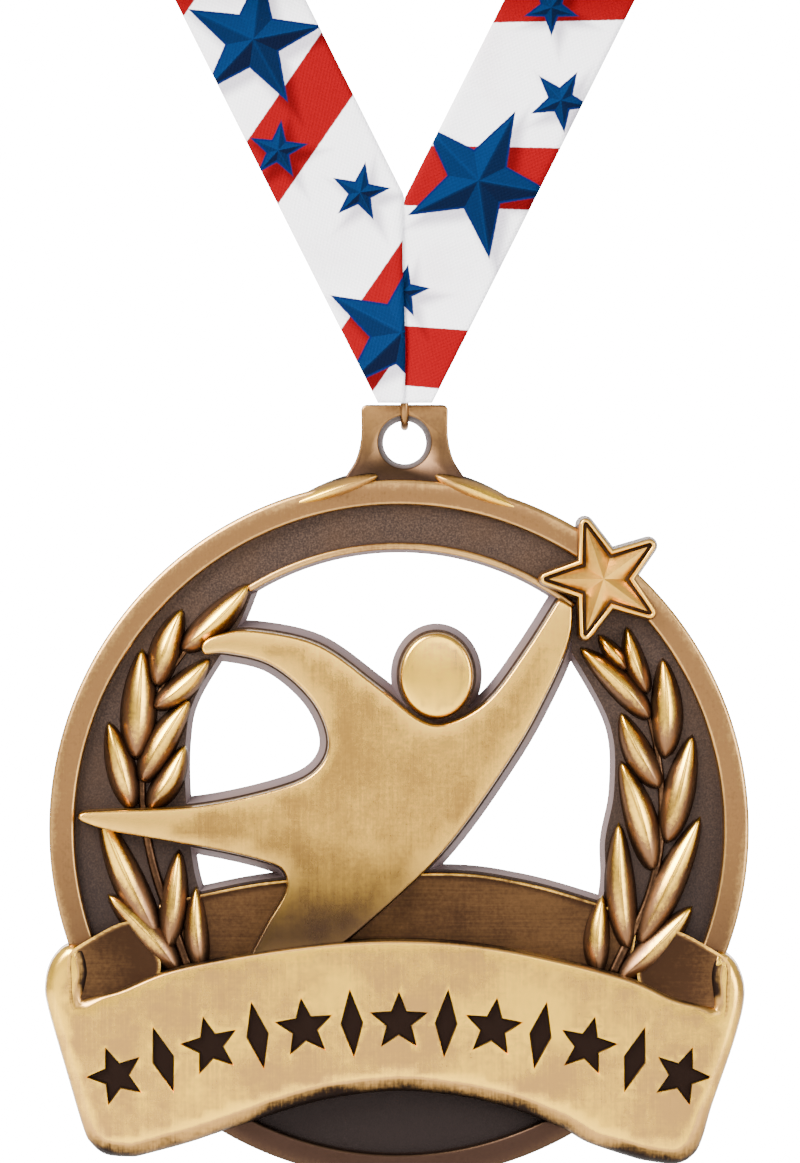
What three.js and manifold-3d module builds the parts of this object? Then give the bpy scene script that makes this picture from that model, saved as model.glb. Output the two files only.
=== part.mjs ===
// A service medal on a neck ribbon, in millimetres, +Z up, its face looking along -Y.
//
// Outlines are drawn in the medal's own plane, X across and Z up, from a point close to
// the centre of its ring. The exported group then moves everything so that the origin is
// the top of the put-away ribbon, where the medal hangs.

import * as THREE from 'three';
import Module from 'manifold-3d';
import { mergeVertices } from 'three/addons/utils/BufferGeometryUtils.js';

const wasm = await Module();
wasm.setup();

// ---------------------------------------------------------------- driving dimensions

// Ring of the medal.
const ringRadius = 35.1;
const ringCentreZ = -0.3;
const rimWidth = 2.5;
const windowRadius = 27.7;
const lipWidth = 0.9;

// Depths of the relief. Y grows towards the back, so the front faces are negative.
const back = 1.0;
const field = -1.0;
const rimFront = -2.0;
const figureFront = -3.2;
const bannerFront = -4.0;
const starBorderFront = -3.4;
const starTip = -4.5;
const groove = 0.3;
const draft = 0.8;

// Head of the figure, an upright oval.
const head = { x: 3.75, z: 15.1, halfWidth: 3.64, halfHeight: 4.25 };

// Arch that the scroll's ornament follows: its top, and how far it falls away to each side.
const archTop = -19.4;
const archFall = 6.1;
const archHalf = 30;

// Star on the ring, its first tip towards the figure's hand, and its faceted middle.
const star = { x: 20.5, z: 25.0, outer: 6.3, inner: 3.0, turn: Math.PI };
const facetOuter = 5.0;
const facetInner = 2.35;

// Lug at the top and its hole.
const lugX = 0.56;
const lugTop = 42.2;
const lugHoleZ = 38.45;
const lugHoleRadius = 2.65;

// Oval jump ring through the lug, and the wire bail that the ribbon's end loop holds.
const jumpWire = 0.8;
const jumpHalfWidth = 2.1;
const jumpBottom = 40.03;
const jumpTop = 47.4;
const bailWire = 1.0;
const bailWidth = 7.4;
const bailBottom = 46.2;
const bailTop = 50.6;

// Ribbon: two straps that meet in a V along an upright seam.
const ribbonWidth = 11.7;
const ribbonThickness = 0.5;
const strapAngle = THREE.MathUtils.degToRad(63.3);
const strapBack = -1.2;
const seamX = 0.5;
const tipLeft = -2.1;
const tipRight = 3.3;
const tipZ = 42.3;
const tipForward = 2.6;
const flapBend = 54.5;
const hankBottom = 86;
const hankLength = 57;
const hankDepth = 8;
const tieWidth = 5;
const loopWidth = 4.4;

// ---------------------------------------------------------------- materials

const bright = { color: 0xc9a365, roughness: 0.38, metalness: 1 };
const worn = { color: 0xb08d55, roughness: 0.42, metalness: 1 };
const oxidised = { color: 0x4a3a2c, roughness: 0.7, metalness: 0.8 };
const wire = { color: 0xa88a55, roughness: 0.3, metalness: 1 };
const fabric = { color: 0xe6e3e6, roughness: 0.9, metalness: 0 };
const band = { color: 0xb4232c, roughness: 0.9, metalness: 0 };

// ---------------------------------------------------------------- helpers

const root = new THREE.Group();

// One named piece of the object.
function addPiece(name, geometry, look) {
  const mesh = new THREE.Mesh(geometry, new THREE.MeshStandardMaterial(look));
  mesh.name = name;
  root.add(mesh);
}

// A closed geometry as a solid that can be joined and cut.
function toSolid(geometry) {
  const bare = geometry.clone();
  bare.deleteAttribute('normal');
  bare.deleteAttribute('uv');
  const merged = mergeVertices(bare, 1e-4);
  return new wasm.Manifold(new wasm.Mesh({
    numProp: 3,
    vertProperties: new Float32Array(merged.attributes.position.array),
    triVerts: new Uint32Array(merged.index.array),
  }));
}

// A solid back as a three.js geometry.
function toGeometry(solid) {
  const mesh = solid.getMesh();
  const geometry = new THREE.BufferGeometry();
  geometry.setAttribute('position', new THREE.BufferAttribute(mesh.vertProperties, 3));
  geometry.setIndex(new THREE.BufferAttribute(mesh.triVerts, 1));
  geometry.computeVertexNormals();
  return geometry;
}

function points(pairs) {
  return pairs.map(([x, z]) => new THREE.Vector2(x, z));
}

// A closed outline made of smooth runs and straight lines. Each run is a list of points;
// a run of two points is a straight line, and each run starts where the last one ended.
function outline(runs) {
  const shape = new THREE.Shape();
  shape.moveTo(...runs[0][0]);
  for (const run of runs) {
    if (run.length === 2) shape.lineTo(...run[1]);
    else shape.splineThru(points(run.slice(1)));
  }
  return shape;
}

// An outline in the X-Z plane, given thickness from one Y to another.
function plate(shape, fromY, toY, smoothness = 3) {
  const geometry = new THREE.ExtrudeGeometry(shape, {
    depth: fromY - toY,
    curveSegments: smoothness,
    bevelEnabled: false,
  });
  geometry.rotateX(Math.PI / 2);
  geometry.translate(0, fromY, 0);
  return geometry;
}

function disc(radius, x = 0, z = ringCentreZ) {
  return new THREE.Shape().absarc(x, z, radius, 0, 2 * Math.PI, false);
}

// An outline moved outwards by a distance, with its sharp corners kept from running away.
function swell(shape, by) {
  const corners = shape.getPoints(3);
  if (corners[0].distanceTo(corners.at(-1)) < 1e-6) corners.pop();
  const turn = THREE.ShapeUtils.isClockWise(corners) ? -1 : 1;
  const moved = corners.map((corner, k) => {
    const before = corners.at(k - 1);
    const after = corners[(k + 1) % corners.length];
    const arriving = corner.clone().sub(before).normalize();
    const leaving = after.clone().sub(corner).normalize();
    const out = new THREE.Vector2(arriving.y + leaving.y, -arriving.x - leaving.x);
    out.multiplyScalar(turn * by / Math.max(out.length(), 1e-6));
    const stretch = 1 / Math.max(Math.sqrt((1 + arriving.dot(leaving)) / 2), 0.6);
    return corner.clone().addScaledVector(out, stretch);
  });
  return new THREE.Shape(moved);
}

// A section drawn in Y and Z and given its length along X.
function turnToX(geometry) {
  const y = new THREE.Vector3(0, 1, 0);
  const z = new THREE.Vector3(0, 0, 1);
  const x = new THREE.Vector3(1, 0, 0);
  return geometry.applyMatrix4(new THREE.Matrix4().makeBasis(y, z, x));
}

// A five-pointed star with its first tip in the direction given.
function starShape(x, z, outer, inner, turn) {
  const corners = [];
  for (let k = 0; k < 10; k += 1) {
    const reach = k % 2 ? inner : outer;
    const angle = turn + k * Math.PI / 5;
    corners.push(new THREE.Vector2(x + reach * Math.cos(angle), z + reach * Math.sin(angle)));
  }
  return new THREE.Shape(corners);
}

// A leaf: half of a spindle that lies on the field from its base to its tip.
function leafSolid([endX, endZ], [baseX, baseZ], width, height, from, grow = 0) {
  const length = Math.hypot(endX - baseX, endZ - baseZ);
  const half = width / 2 + grow;
  const profile = [];
  const steps = 7;
  for (let k = 0; k <= steps; k += 1) {
    const along = k / steps;
    const fullness = k % steps ? Math.pow(Math.sin(Math.PI * along), 0.75) : 0;
    profile.push(new THREE.Vector2(half * fullness, along * (length + 2 * grow) - grow));
  }
  const spindle = new THREE.LatheGeometry(profile, 8);
  spindle.scale(1, 1, (height + grow) / half);
  spindle.rotateX(Math.PI / 2);
  spindle.rotateY(Math.atan2(endX - baseX, endZ - baseZ));
  spindle.translate(baseX, from, baseZ);
  return toSolid(spindle);
}

// Everything in front of one Y, as a block to cut with.
function blockInFront(y) {
  const block = new THREE.BoxGeometry(120, 20, 160);
  block.translate(0, y - 10, 0);
  return toSolid(block);
}

// ---------------------------------------------------------------- outlines of the medal

function figureShape() {
  return outline([
    [[-19.7, 17.9], [-17.8, 19.2], [-14.5, 19.6], [-8.1, 18.2], [-2.4, 14.2], [2.2, 10.6],
      [5.2, 10.4], [9.0, 12.7], [12.7, 17.6], [16.0, 22.8]],
    [[16.0, 22.8], [17.3, 22.0]],
    [[17.3, 22.0], [17.0, 18.8], [14.9, 13.7], [11.0, 6.7], [3.8, -3.1], [-6.5, -12.0]],
    [[-6.5, -12.0], [-14.8, -13.5]],
    [[-14.8, -13.5], [-13.2, -9.7], [-11.4, -6.4], [-12.4, -3.8], [-18.6, -2.2],
      [-28.2, -0.5], [-32.0, 0.9]],
    [[-32.0, 0.9], [-29.5, 1.6], [-20.5, 2.0], [-13.0, 3.5], [-8.6, 5.3], [-7.0, 8.4],
      [-8.6, 12.6], [-12.7, 16.2], [-19.7, 17.9]],
  ]);
}

function headShape() {
  const { x, z, halfWidth, halfHeight } = head;
  return new THREE.Shape().absellipse(x, z, halfWidth, halfHeight, 0, 2 * Math.PI, false);
}

// The short neck that carries the head behind its groove.
function neckShape() {
  return new THREE.Shape().absellipse(4.2, 11.3, 2.9, 1.6, 0, 2 * Math.PI, false);
}

function bannerShape() {
  return outline([
    [[-31.4, -12.2], [-33.6, -12.1], [-35.2, -14.4], [-35.2, -17.3], [-33.2, -24.5],
      [-31.4, -30.5], [-29.2, -32.6], [-26.0, -32.9]],
    [[-26.0, -32.9], [-16.4, -30.0], [-8.0, -27.4], [0.3, -26.4], [8.5, -27.4], [15.7, -29.8],
      [24.5, -33.1]],
    [[24.5, -33.1], [28.0, -33.4], [30.2, -31.6], [31.2, -28.0], [33.6, -21.0], [34.5, -16.8],
      [33.6, -13.8], [31.6, -12.4]],
    [[31.6, -12.4], [31.2, -15.0], [31.4, -18.0]],
    [[31.4, -18.0], [22.1, -14.9], [10.0, -12.1], [0.1, -11.3], [-10.0, -12.0], [-21.9, -14.1],
      [-31.6, -17.2]],
    [[-31.6, -17.2], [-31.0, -14.8], [-31.4, -12.2]],
  ]);
}

// The parts of the plate that the laurels, the scroll and the lug stand on.
function laurelGroundLeft() {
  return outline([
    [[-14.6, 23.3], [-16.2, 19.6], [-20.2, 13.0], [-21.2, 8.7], [-21.2, 2.8], [-20.4, -4.3],
      [-19.0, -9.0], [-18.0, -14.0]],
    [[-18.0, -14.0], [-27.0, -14.0]],
    [[-27.0, -14.0], [-29.5, 0.0], [-26.5, 14.0], [-19.0, 23.5], [-14.6, 23.3]],
  ]);
}

function laurelGroundRight() {
  return outline([
    [[17.2, 17.3], [17.0, 22.0]],
    [[17.0, 22.0], [25.5, 21.5]],
    [[25.5, 21.5], [29.5, 0.0], [27.0, -14.0]],
    [[27.0, -14.0], [18.5, -14.0]],
    [[18.5, -14.0], [20.4, -6.5], [20.5, -1.4], [21.4, 3.7], [21.0, 10.1], [17.2, 17.3]],
  ]);
}

function scrollBackShape() {
  return outline([
    [[-24.0, -7.4], [-19.5, -6.3], [-11.2, -4.9], [4.2, -4.2], [12.1, -5.1], [19.4, -7.1],
      [24.0, -8.8]],
    [[24.0, -8.8], [24.0, -20.0]],
    [[24.0, -20.0], [-24.0, -20.0]],
    [[-24.0, -20.0], [-24.0, -7.4]],
  ]);
}

function lugShape() {
  const halfTop = 4.35;
  const halfFoot = 5.8;
  const footZ = 34.6;
  const shape = new THREE.Shape();
  shape.moveTo(lugX - halfFoot - 1.2, footZ - 1.4);
  shape.lineTo(lugX - halfFoot, footZ + 0.6);
  shape.quadraticCurveTo(lugX - halfTop, footZ + 3.0, lugX - halfTop, lugTop);
  shape.lineTo(lugX + halfTop, lugTop);
  shape.quadraticCurveTo(lugX + halfTop, footZ + 3.0, lugX + halfFoot, footZ + 0.6);
  shape.lineTo(lugX + halfFoot + 1.2, footZ - 1.4);
  return shape;
}

function starGround() {
  return starShape(star.x, star.z, star.outer + 0.5, star.inner + 0.4, star.turn);
}

// ---------------------------------------------------------------- medal: plate and ring

function medalPlate() {
  const ring = disc(ringRadius);
  ring.holes.push(disc(windowRadius));
  const grounds = [
    swell(figureShape(), draft), neckShape(), swell(headShape(), draft), bannerShape(),
    laurelGroundLeft(), laurelGroundRight(), scrollBackShape(), lugShape(), starGround(),
  ];
  let solid = toSolid(plate(ring, back, field, 48));
  for (const ground of grounds) solid = solid.add(toSolid(plate(ground, back, field)));
  const behindScroll = new THREE.Shape()
    .absarc(0, ringCentreZ, ringRadius - rimWidth, -2.5, -0.64, false);
  solid = solid.add(toSolid(plate(behindScroll, back, field, 20)));
  const hole = plate(disc(lugHoleRadius, lugX, lugHoleZ), back + 1, field - 1, 24);
  return solid.subtract(toSolid(hole));
}

// A band of the ring between two radii, before anything cuts it.
function ringBand(outerRadius, innerRadius, fromY, toY) {
  const shape = disc(outerRadius);
  shape.holes.push(disc(innerRadius));
  return toSolid(plate(shape, fromY, toY, 48));
}

// The rim in the three lengths that the scroll and the star leave: left, right and lower.
function rimPieces() {
  const whole = ringBand(ringRadius, ringRadius - rimWidth, field, rimFront)
    .subtract(scrollCutter)
    .subtract(insideCutter)
    .subtract(starCutter);
  const lengths = whole.decompose().filter((part) => part.volume() > 2);
  return lengths.sort((a, b) => b.volume() - a.volume());
}

// The thin lip along the top window's edge, from the left laurel to the star.
function lipPiece() {
  const from = THREE.MathUtils.degToRad(57);
  const to = THREE.MathUtils.degToRad(119);
  const outer = windowRadius + lipWidth;
  const shape = new THREE.Shape();
  shape.absarc(0, ringCentreZ, outer, from, to, false);
  shape.absarc(0, ringCentreZ, windowRadius, to, from, true);
  return toSolid(plate(shape, field, field - 0.5, 28));
}

// ---------------------------------------------------------------- medal: leaves

// Each leaf is given by its tip, its base and its width, from the top of the branch down.
const leavesLeft = [
  [[-14.9, 24.3], [-21.2, 18.1], 2.5], [[-21.7, 21.8], [-24.1, 14.6], 2.5],
  [[-25.7, 17.8], [-26.3, 7.6], 2.9], [[-18.9, 16.8], [-24.1, 12.2], 2.2],
  [[-20.9, 12.8], [-25.4, 5.0], 2.5], [[-29.1, 10.5], [-26.9, 2.4], 2.4],
  [[-21.4, 8.1], [-24.7, 2.2], 2.3], [[-30.0, 1.6], [-24.6, -10.2], 2.6],
  [[-22.0, -2.3], [-23.0, -11.6], 2.3], [[-29.2, -6.8], [-22.6, -14.0], 2.5],
  [[-20.3, -6.0], [-19.8, -13.9], 2.1],
];
const leavesRight = [
  [[18.1, 17.9], [24.6, 11.3], 2.3], [[22.8, 20.0], [24.7, 13.8], 1.9],
  [[19.9, 19.2], [22.6, 15.9], 1.5],
  [[26.4, 16.9], [26.6, 7.6], 2.6], [[22.2, 11.4], [25.8, 4.4], 2.4],
  [[29.4, 9.2], [27.0, -0.8], 2.6], [[22.2, 6.6], [25.2, -3.6], 2.6],
  [[22.0, 0.4], [22.8, -11.4], 2.5], [[30.2, 1.0], [24.6, -10.9], 2.6],
  [[29.4, -8.0], [22.6, -14.9], 2.5], [[20.4, -6.9], [19.9, -14.3], 2.2],
];
const leafHeight = 1.9;

// An outline as a deep cutter, one groove wider all round.
function grooveCutter(shape) {
  return toSolid(plate(swell(shape, groove), back + 1, starTip - 1));
}

// The leaves of one branch, each cut clear of those above it and of what lies over them.
function branchLeaves(leaves, side, covers) {
  let taken = covers;
  leaves.forEach(([tip, base, width], index) => {
    const leaf = leafSolid(tip, base, width, leafHeight, field)
      .intersect(blockInFront(field))
      .subtract(taken);
    const largest = leaf.decompose().sort((a, b) => b.volume() - a.volume())[0];
    addPiece(`laurel_${side}_leaf_${index + 1}`, toGeometry(largest), bright);
    taken = taken.add(leafSolid(tip, base, width, leafHeight, field, 0.2));
  });
}

function rimLeaf(tip, base) {
  return leafSolid(tip, base, 1.6, 0.7, rimFront).intersect(blockInFront(rimFront));
}

// ---------------------------------------------------------------- medal: figure, star, scroll

function headSolid() {
  const profile = points([[0, 0], [1, 0], [1, 0.72], [0.8, 0.92], [0.45, 1], [0, 1.04]]);
  const height = field - figureFront - 0.5;
  const dome = new THREE.LatheGeometry(profile, 32);
  dome.scale(head.halfWidth, height, head.halfHeight);
  dome.rotateX(Math.PI);
  dome.translate(head.x, field, head.z);
  return dome;
}

// A faceted star: a ten-sided cone with every second corner pulled in.
function starFacets() {
  const height = starBorderFront - starTip;
  const facets = new THREE.ConeGeometry(1, height, 10, 1);
  const position = facets.attributes.position;
  for (let k = 0; k < position.count; k += 1) {
    const x = position.getX(k);
    const z = position.getZ(k);
    if (Math.hypot(x, z) < 0.5) continue;
    const corner = Math.round(Math.atan2(x, z) / (Math.PI / 5));
    const reach = corner % 2 ? facetInner : facetOuter;
    position.setXYZ(k, x * reach, position.getY(k), z * reach);
  }
  facets.rotateX(Math.PI);
  facets.rotateY(Math.PI / 2);
  facets.translate(star.x, (starBorderFront + starTip) / 2, star.z);
  return facets;
}

// A tall lozenge that leans with the scroll's arch.
function lozengeShape(x, z, halfWidth, halfHeight, lean) {
  const across = new THREE.Vector2(Math.cos(lean), Math.sin(lean));
  const up = new THREE.Vector2(-across.y, across.x);
  const middle = new THREE.Vector2(x, z);
  return new THREE.Shape([
    middle.clone().addScaledVector(across, halfWidth),
    middle.clone().addScaledVector(up, halfHeight),
    middle.clone().addScaledVector(across, -halfWidth),
    middle.clone().addScaledVector(up, -halfHeight),
  ]);
}

// Middle line of the scroll's ornament, and its slope.
function archMiddle(x) {
  return archTop - archFall * (x / archHalf) ** 2;
}

function archSlope(x) {
  return -2 * archFall * x / archHalf ** 2;
}

// Ornament of the scroll: stars and lozenges in turn, sunk along its arch.
function bannerOrnament() {
  const count = 13;
  const reach = 28.2;
  const sunk = 0.5;
  let cutter = null;
  for (let k = 0; k < count; k += 1) {
    const x = -reach + 2 * reach * k / (count - 1);
    const z = archMiddle(x);
    const lean = Math.atan(archSlope(x));
    const shape = k % 2
      ? lozengeShape(x, z, 1.15, 3.5, lean)
      : starShape(x, z, 3.1, 1.35, Math.PI / 2 + lean);
    const cut = toSolid(plate(shape, bannerFront + sunk, bannerFront - 1));
    cutter = cutter ? cutter.add(cut) : cut;
  }
  return cutter;
}

function scrollFront() {
  return toSolid(plate(bannerShape(), field, bannerFront)).subtract(bannerOrnament());
}

// Parts of the scroll seen behind its front: inside its rolled ends and behind the legs.
const scrollParts = {
  scroll_inside_left: [[-31.2, -11.8], [-27.8, -9.2], [-26.0, -11.8], [-24.6, -14.6],
    [-30.9, -16.7], [-30.5, -14.8]],
  scroll_back_left: [[-18.4, -6.6], [-12.4, -5.6], [-13.8, -8.6], [-15.5, -12.5], [-18.4, -13.2]],
  scroll_back_right: [[3.6, -4.9], [12.1, -5.6], [18.7, -7.4], [18.4, -12.2], [18.2, -13.5],
    [9.0, -11.6], [-3.4, -11.1]],
  scroll_inside_right: [[31.3, -12.3], [28.2, -10.4], [26.6, -12.8], [24.8, -15.6],
    [31.0, -17.4], [30.9, -15.0]],
};

// ---------------------------------------------------------------- ring, bail and ribbon

// Round wire bent round a rectangle with round corners. Its two ends meet at a butt joint
// in the middle of one side, with a hair's breadth between them.
function wireLoop(halfWidth, low, high, corner, thickness, place) {
  const middle = (low + high) / 2;
  const joint = 0.06;
  const centres = [
    [halfWidth - corner, high - corner], [corner - halfWidth, high - corner],
    [corner - halfWidth, low + corner], [halfWidth - corner, low + corner],
  ];
  const route = [place(halfWidth, middle + joint)];
  const steps = 5;
  centres.forEach(([u, z], index) => {
    for (let k = 0; k <= steps; k += 1) {
      const angle = (index + k / steps) * Math.PI / 2;
      route.push(place(u + corner * Math.cos(angle), z + corner * Math.sin(angle)));
    }
    if (index === 1) route.push(place(-halfWidth, middle));
  });
  route.push(place(halfWidth, middle - joint));
  const section = new THREE.Shape().absarc(0, 0, thickness / 2, 0, 2 * Math.PI, false);
  return new THREE.ExtrudeGeometry(section, {
    extrudePath: new THREE.CatmullRomCurve3(route, false, 'centripetal'),
    steps: 36,
    curveSegments: 4,
    bevelEnabled: false,
  });
}

// One strap: flat above the bend, leaning forward below it, where it covers the bail.
function strapSolid(side) {
  const tilt = 1 / Math.tan(strapAngle);
  const across = ribbonWidth / Math.sin(strapAngle);
  const outerTip = side < 0 ? tipLeft : tipRight;
  const outerAt = (z) => outerTip + side * tilt * (z - tipZ);
  const crotchZ = tipZ + (across - Math.abs(outerTip - seamX)) / tilt;
  const innerAt = (z) => (z > crotchZ ? outerAt(z) - side * across : seamX + side * 0.05);
  const section = (low, high) => {
    const edges = [[outerAt(low), low], [innerAt(low), low]];
    if (low < crotchZ && high > crotchZ) edges.push([innerAt(crotchZ), crotchZ]);
    edges.push([innerAt(high), high], [outerAt(high), high]);
    return plate(new THREE.Shape(points(edges)), strapBack, strapBack - ribbonThickness);
  };
  const flap = section(tipZ, flapBend);
  const leanPerHeight = tipForward / (flapBend - tipZ);
  flap.applyMatrix4(new THREE.Matrix4().makeShear(0, 0, 0, 0, 0, leanPerHeight));
  flap.translate(0, -leanPerHeight * flapBend, 0);
  return toSolid(section(flapBend, hankBottom - groove)).add(toSolid(flap));
}

// The ribbon's end, turned round the bail's top wire and sewn up behind the seam.
function endLoop() {
  const radius = 1.15;
  const tail = new THREE.Shape();
  tail.moveTo(radius, bailTop);
  tail.absarc(0, bailTop, radius, 0, -Math.PI, true);
  tail.lineTo(-radius, flapBend);
  tail.lineTo(-radius + ribbonThickness, flapBend);
  tail.lineTo(-radius + ribbonThickness, bailTop + 2.2);
  tail.closePath();
  tail.holes.push(new THREE.Path().absarc(0, bailTop, bailWire / 2 + groove, 0, 2 * Math.PI, false));
  const loop = new THREE.ExtrudeGeometry(tail, {
    depth: loopWidth, bevelEnabled: false, curveSegments: 12,
  });
  loop.translate(0, 0, -loopWidth / 2);
  return turnToX(loop);
}

// The length of ribbon that isn't in use, folded to and fro into a flat bundle.
function hankSolid() {
  const half = hankLength / 2;
  const r = hankDepth / 2;
  const section = new THREE.Shape();
  section.absarc(half - r, 0, r, -Math.PI / 2, Math.PI / 2, false);
  section.absarc(r - half, 0, r, Math.PI / 2, 3 * Math.PI / 2, false);
  return new THREE.ExtrudeGeometry(section, {
    depth: ribbonWidth, bevelEnabled: false, curveSegments: 10,
  });
}

function tieSolid() {
  const clear = 0.3;
  const thick = 0.4;
  const halfY = hankDepth / 2 + clear;
  const rectangle = (y, low, high) => points([[-y, low], [y, low], [y, high], [-y, high]]);
  const shape = new THREE.Shape(rectangle(halfY + thick, -clear - thick, ribbonWidth + clear + thick));
  shape.holes.push(new THREE.Path(rectangle(halfY, -clear, ribbonWidth + clear)));
  const tie = new THREE.ExtrudeGeometry(shape, { depth: tieWidth, bevelEnabled: false });
  tie.translate(0, 0, -tieWidth / 2);
  return turnToX(tie);
}

// ---------------------------------------------------------------- assembly

const figureCutter = grooveCutter(figureShape());
const scrollCutter = grooveCutter(bannerShape());
const starCutter = grooveCutter(starShape(star.x, star.z, star.outer, star.inner, star.turn));
const insideCutter = Object.values(scrollParts)
  .map((corners) => grooveCutter(new THREE.Shape(points(corners))))
  .reduce((joined, next) => joined.add(next));

addPiece('medal_plate', toGeometry(medalPlate()), oxidised);
const [rimLeft, rimRight, rimLower] = rimPieces();
addPiece('ring_rim_left', toGeometry(rimLeft), worn);
addPiece('ring_rim_right', toGeometry(rimRight), worn);
addPiece('ring_rim_lower', toGeometry(rimLower), worn);
addPiece('window_lip', toGeometry(lipPiece()), worn);
addPiece('rim_leaf_left', toGeometry(rimLeaf([-11.2, 31.9], [-2.1, 33.9])), bright);
addPiece('rim_leaf_right', toGeometry(rimLeaf([12.6, 31.3], [3.6, 33.8])), bright);

const figure = toSolid(plate(figureShape(), field, figureFront, 3)).subtract(scrollCutter);
addPiece('figure_body', toGeometry(figure), bright);
addPiece('figure_head', headSolid(), bright);

const starBorder = starShape(star.x, star.z, star.outer, star.inner, star.turn);
addPiece('star_border', plate(starBorder, field, starBorderFront), worn);
addPiece('star_facets', starFacets(), bright);

addPiece('scroll_front', toGeometry(scrollFront()), bright);
for (const [name, corners] of Object.entries(scrollParts)) {
  const sheet = toSolid(plate(new THREE.Shape(points(corners)), field, field - 0.3));
  addPiece(name, toGeometry(sheet.subtract(figureCutter).subtract(scrollCutter)), oxidised);
}

const leafCover = figureCutter.add(starCutter).add(scrollCutter).add(insideCutter);
branchLeaves(leavesLeft, 'left', leafCover);
branchLeaves(leavesRight, 'right', leafCover);

const frontToBack = (u, z) => new THREE.Vector3(lugX, u, z);
const sideToSide = (u, z) => new THREE.Vector3(lugX + u, 0, z);
const jumpRing = wireLoop(jumpHalfWidth, jumpBottom, jumpTop, jumpHalfWidth * 0.98, jumpWire, frontToBack);
addPiece('jump_ring', jumpRing, wire);
addPiece('ribbon_bail', wireLoop(bailWidth / 2, bailBottom, bailTop, 0.9, bailWire, sideToSide), wire);

addPiece('ribbon_strap_left', toGeometry(strapSolid(-1)), fabric);
addPiece('ribbon_strap_right', toGeometry(strapSolid(1)), fabric);
const loop = endLoop();
loop.translate(lugX, 0, 0);
addPiece('ribbon_end_loop', loop, fabric);
const hank = hankSolid();
hank.translate(lugX, strapBack - ribbonThickness / 2, hankBottom);
addPiece('ribbon_hank', hank, fabric);
const tie = tieSolid();
tie.translate(lugX, strapBack - ribbonThickness / 2, hankBottom);
addPiece('hank_tie', tie, band);

root.position.set(-lugX, 0, -(hankBottom + ribbonWidth));

export default root;
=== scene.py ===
"""A cast service medal on a printed neck ribbon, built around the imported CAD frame.

Shapes are drawn in millimetres in the medal's own plane (X across, Z up, Y towards the back),
with the drawing's zero near the middle of the ring, and placed from the frame's own boxes.
"""

import math

import bmesh
import bpy
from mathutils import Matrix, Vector
from mathutils.geometry import delaunay_2d_cdt


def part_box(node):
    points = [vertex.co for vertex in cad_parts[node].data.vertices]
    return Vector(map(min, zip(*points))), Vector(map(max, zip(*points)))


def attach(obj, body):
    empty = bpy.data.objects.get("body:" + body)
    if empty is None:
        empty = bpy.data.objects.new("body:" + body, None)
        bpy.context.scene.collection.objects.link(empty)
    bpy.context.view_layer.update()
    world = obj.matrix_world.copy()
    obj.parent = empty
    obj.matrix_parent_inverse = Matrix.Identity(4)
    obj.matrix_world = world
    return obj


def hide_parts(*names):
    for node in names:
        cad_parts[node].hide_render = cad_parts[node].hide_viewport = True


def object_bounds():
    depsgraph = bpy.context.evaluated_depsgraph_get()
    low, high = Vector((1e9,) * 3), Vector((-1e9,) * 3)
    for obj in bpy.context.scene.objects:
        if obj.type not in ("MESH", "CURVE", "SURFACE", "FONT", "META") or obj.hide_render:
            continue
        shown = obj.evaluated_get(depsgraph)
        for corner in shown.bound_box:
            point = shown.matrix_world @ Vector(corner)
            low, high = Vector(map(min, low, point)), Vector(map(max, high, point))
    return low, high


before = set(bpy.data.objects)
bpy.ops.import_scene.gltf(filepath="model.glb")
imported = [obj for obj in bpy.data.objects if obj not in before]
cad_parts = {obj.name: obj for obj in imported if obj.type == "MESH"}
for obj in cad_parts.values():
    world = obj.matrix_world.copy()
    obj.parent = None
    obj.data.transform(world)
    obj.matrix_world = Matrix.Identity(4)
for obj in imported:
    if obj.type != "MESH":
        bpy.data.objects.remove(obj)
cad_low, cad_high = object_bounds()

# ------------------------------------------------------------------ driving dimensions

MM = 0.001


def front_of(node):
    """The depth of a node's front, in millimetres."""
    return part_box(node)[0].y / MM


PLATE_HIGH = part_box("medal_plate")[1]
RING_LOW, RING_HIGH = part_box("jump_ring")
HANK_LOW, HANK_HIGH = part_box("ribbon_hank")

LUG_X = 0.56
LUG_TOP = 42.2
ZERO = Vector((
    (RING_LOW.x + RING_HIGH.x) / 2 - LUG_X * MM,
    0.0,
    PLATE_HIGH.z - LUG_TOP * MM,
))

RING_RADIUS = 35.1
RING_CENTRE = Vector((0.0, -0.3))
RIM_WIDTH = 2.6
WINDOW_RADIUS = 27.7

BACK = PLATE_HIGH.y / MM
FIELD = front_of("medal_plate")
RIM_FRONT = front_of("ring_rim_left")
FIGURE_FRONT = front_of("figure_body")
SCROLL_FRONT = front_of("scroll_front")
STAR_BORDER_FRONT = front_of("star_border")
STAR_TIP = front_of("star_facets")

SPLINE_STEPS = 8


def place(x, y, z):
    """A point of the drawing, in millimetres, as a point of the row frame."""
    return ZERO + Vector((x, y, z)) * MM


def height(z):
    """A height of the row frame, in metres, as a height of the drawing."""
    return (z - ZERO.z) / MM


def clamp(value):
    return min(1.0, max(0.0, value))


def steady(value):
    """A function that gives the same value at every point."""
    return lambda point: value


# ------------------------------------------------------------------ outlines

def spline(points, steps=SPLINE_STEPS):
    """A smooth run through the points, without its last point."""
    out = []
    last = len(points) - 1
    for k in range(last):
        p0 = Vector(points[max(k - 1, 0)])
        p1 = Vector(points[k])
        p2 = Vector(points[k + 1])
        p3 = Vector(points[min(k + 2, last)])
        for s in range(steps):
            t = s / steps
            tangent_in = (p2 - p0) * 0.5
            tangent_out = (p3 - p1) * 0.5
            out.append(
                p1 * (2 * t ** 3 - 3 * t ** 2 + 1)
                + tangent_in * (t ** 3 - 2 * t ** 2 + t)
                + p2 * (-2 * t ** 3 + 3 * t ** 2)
                + tangent_out * (t ** 3 - t ** 2)
            )
    return out


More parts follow.
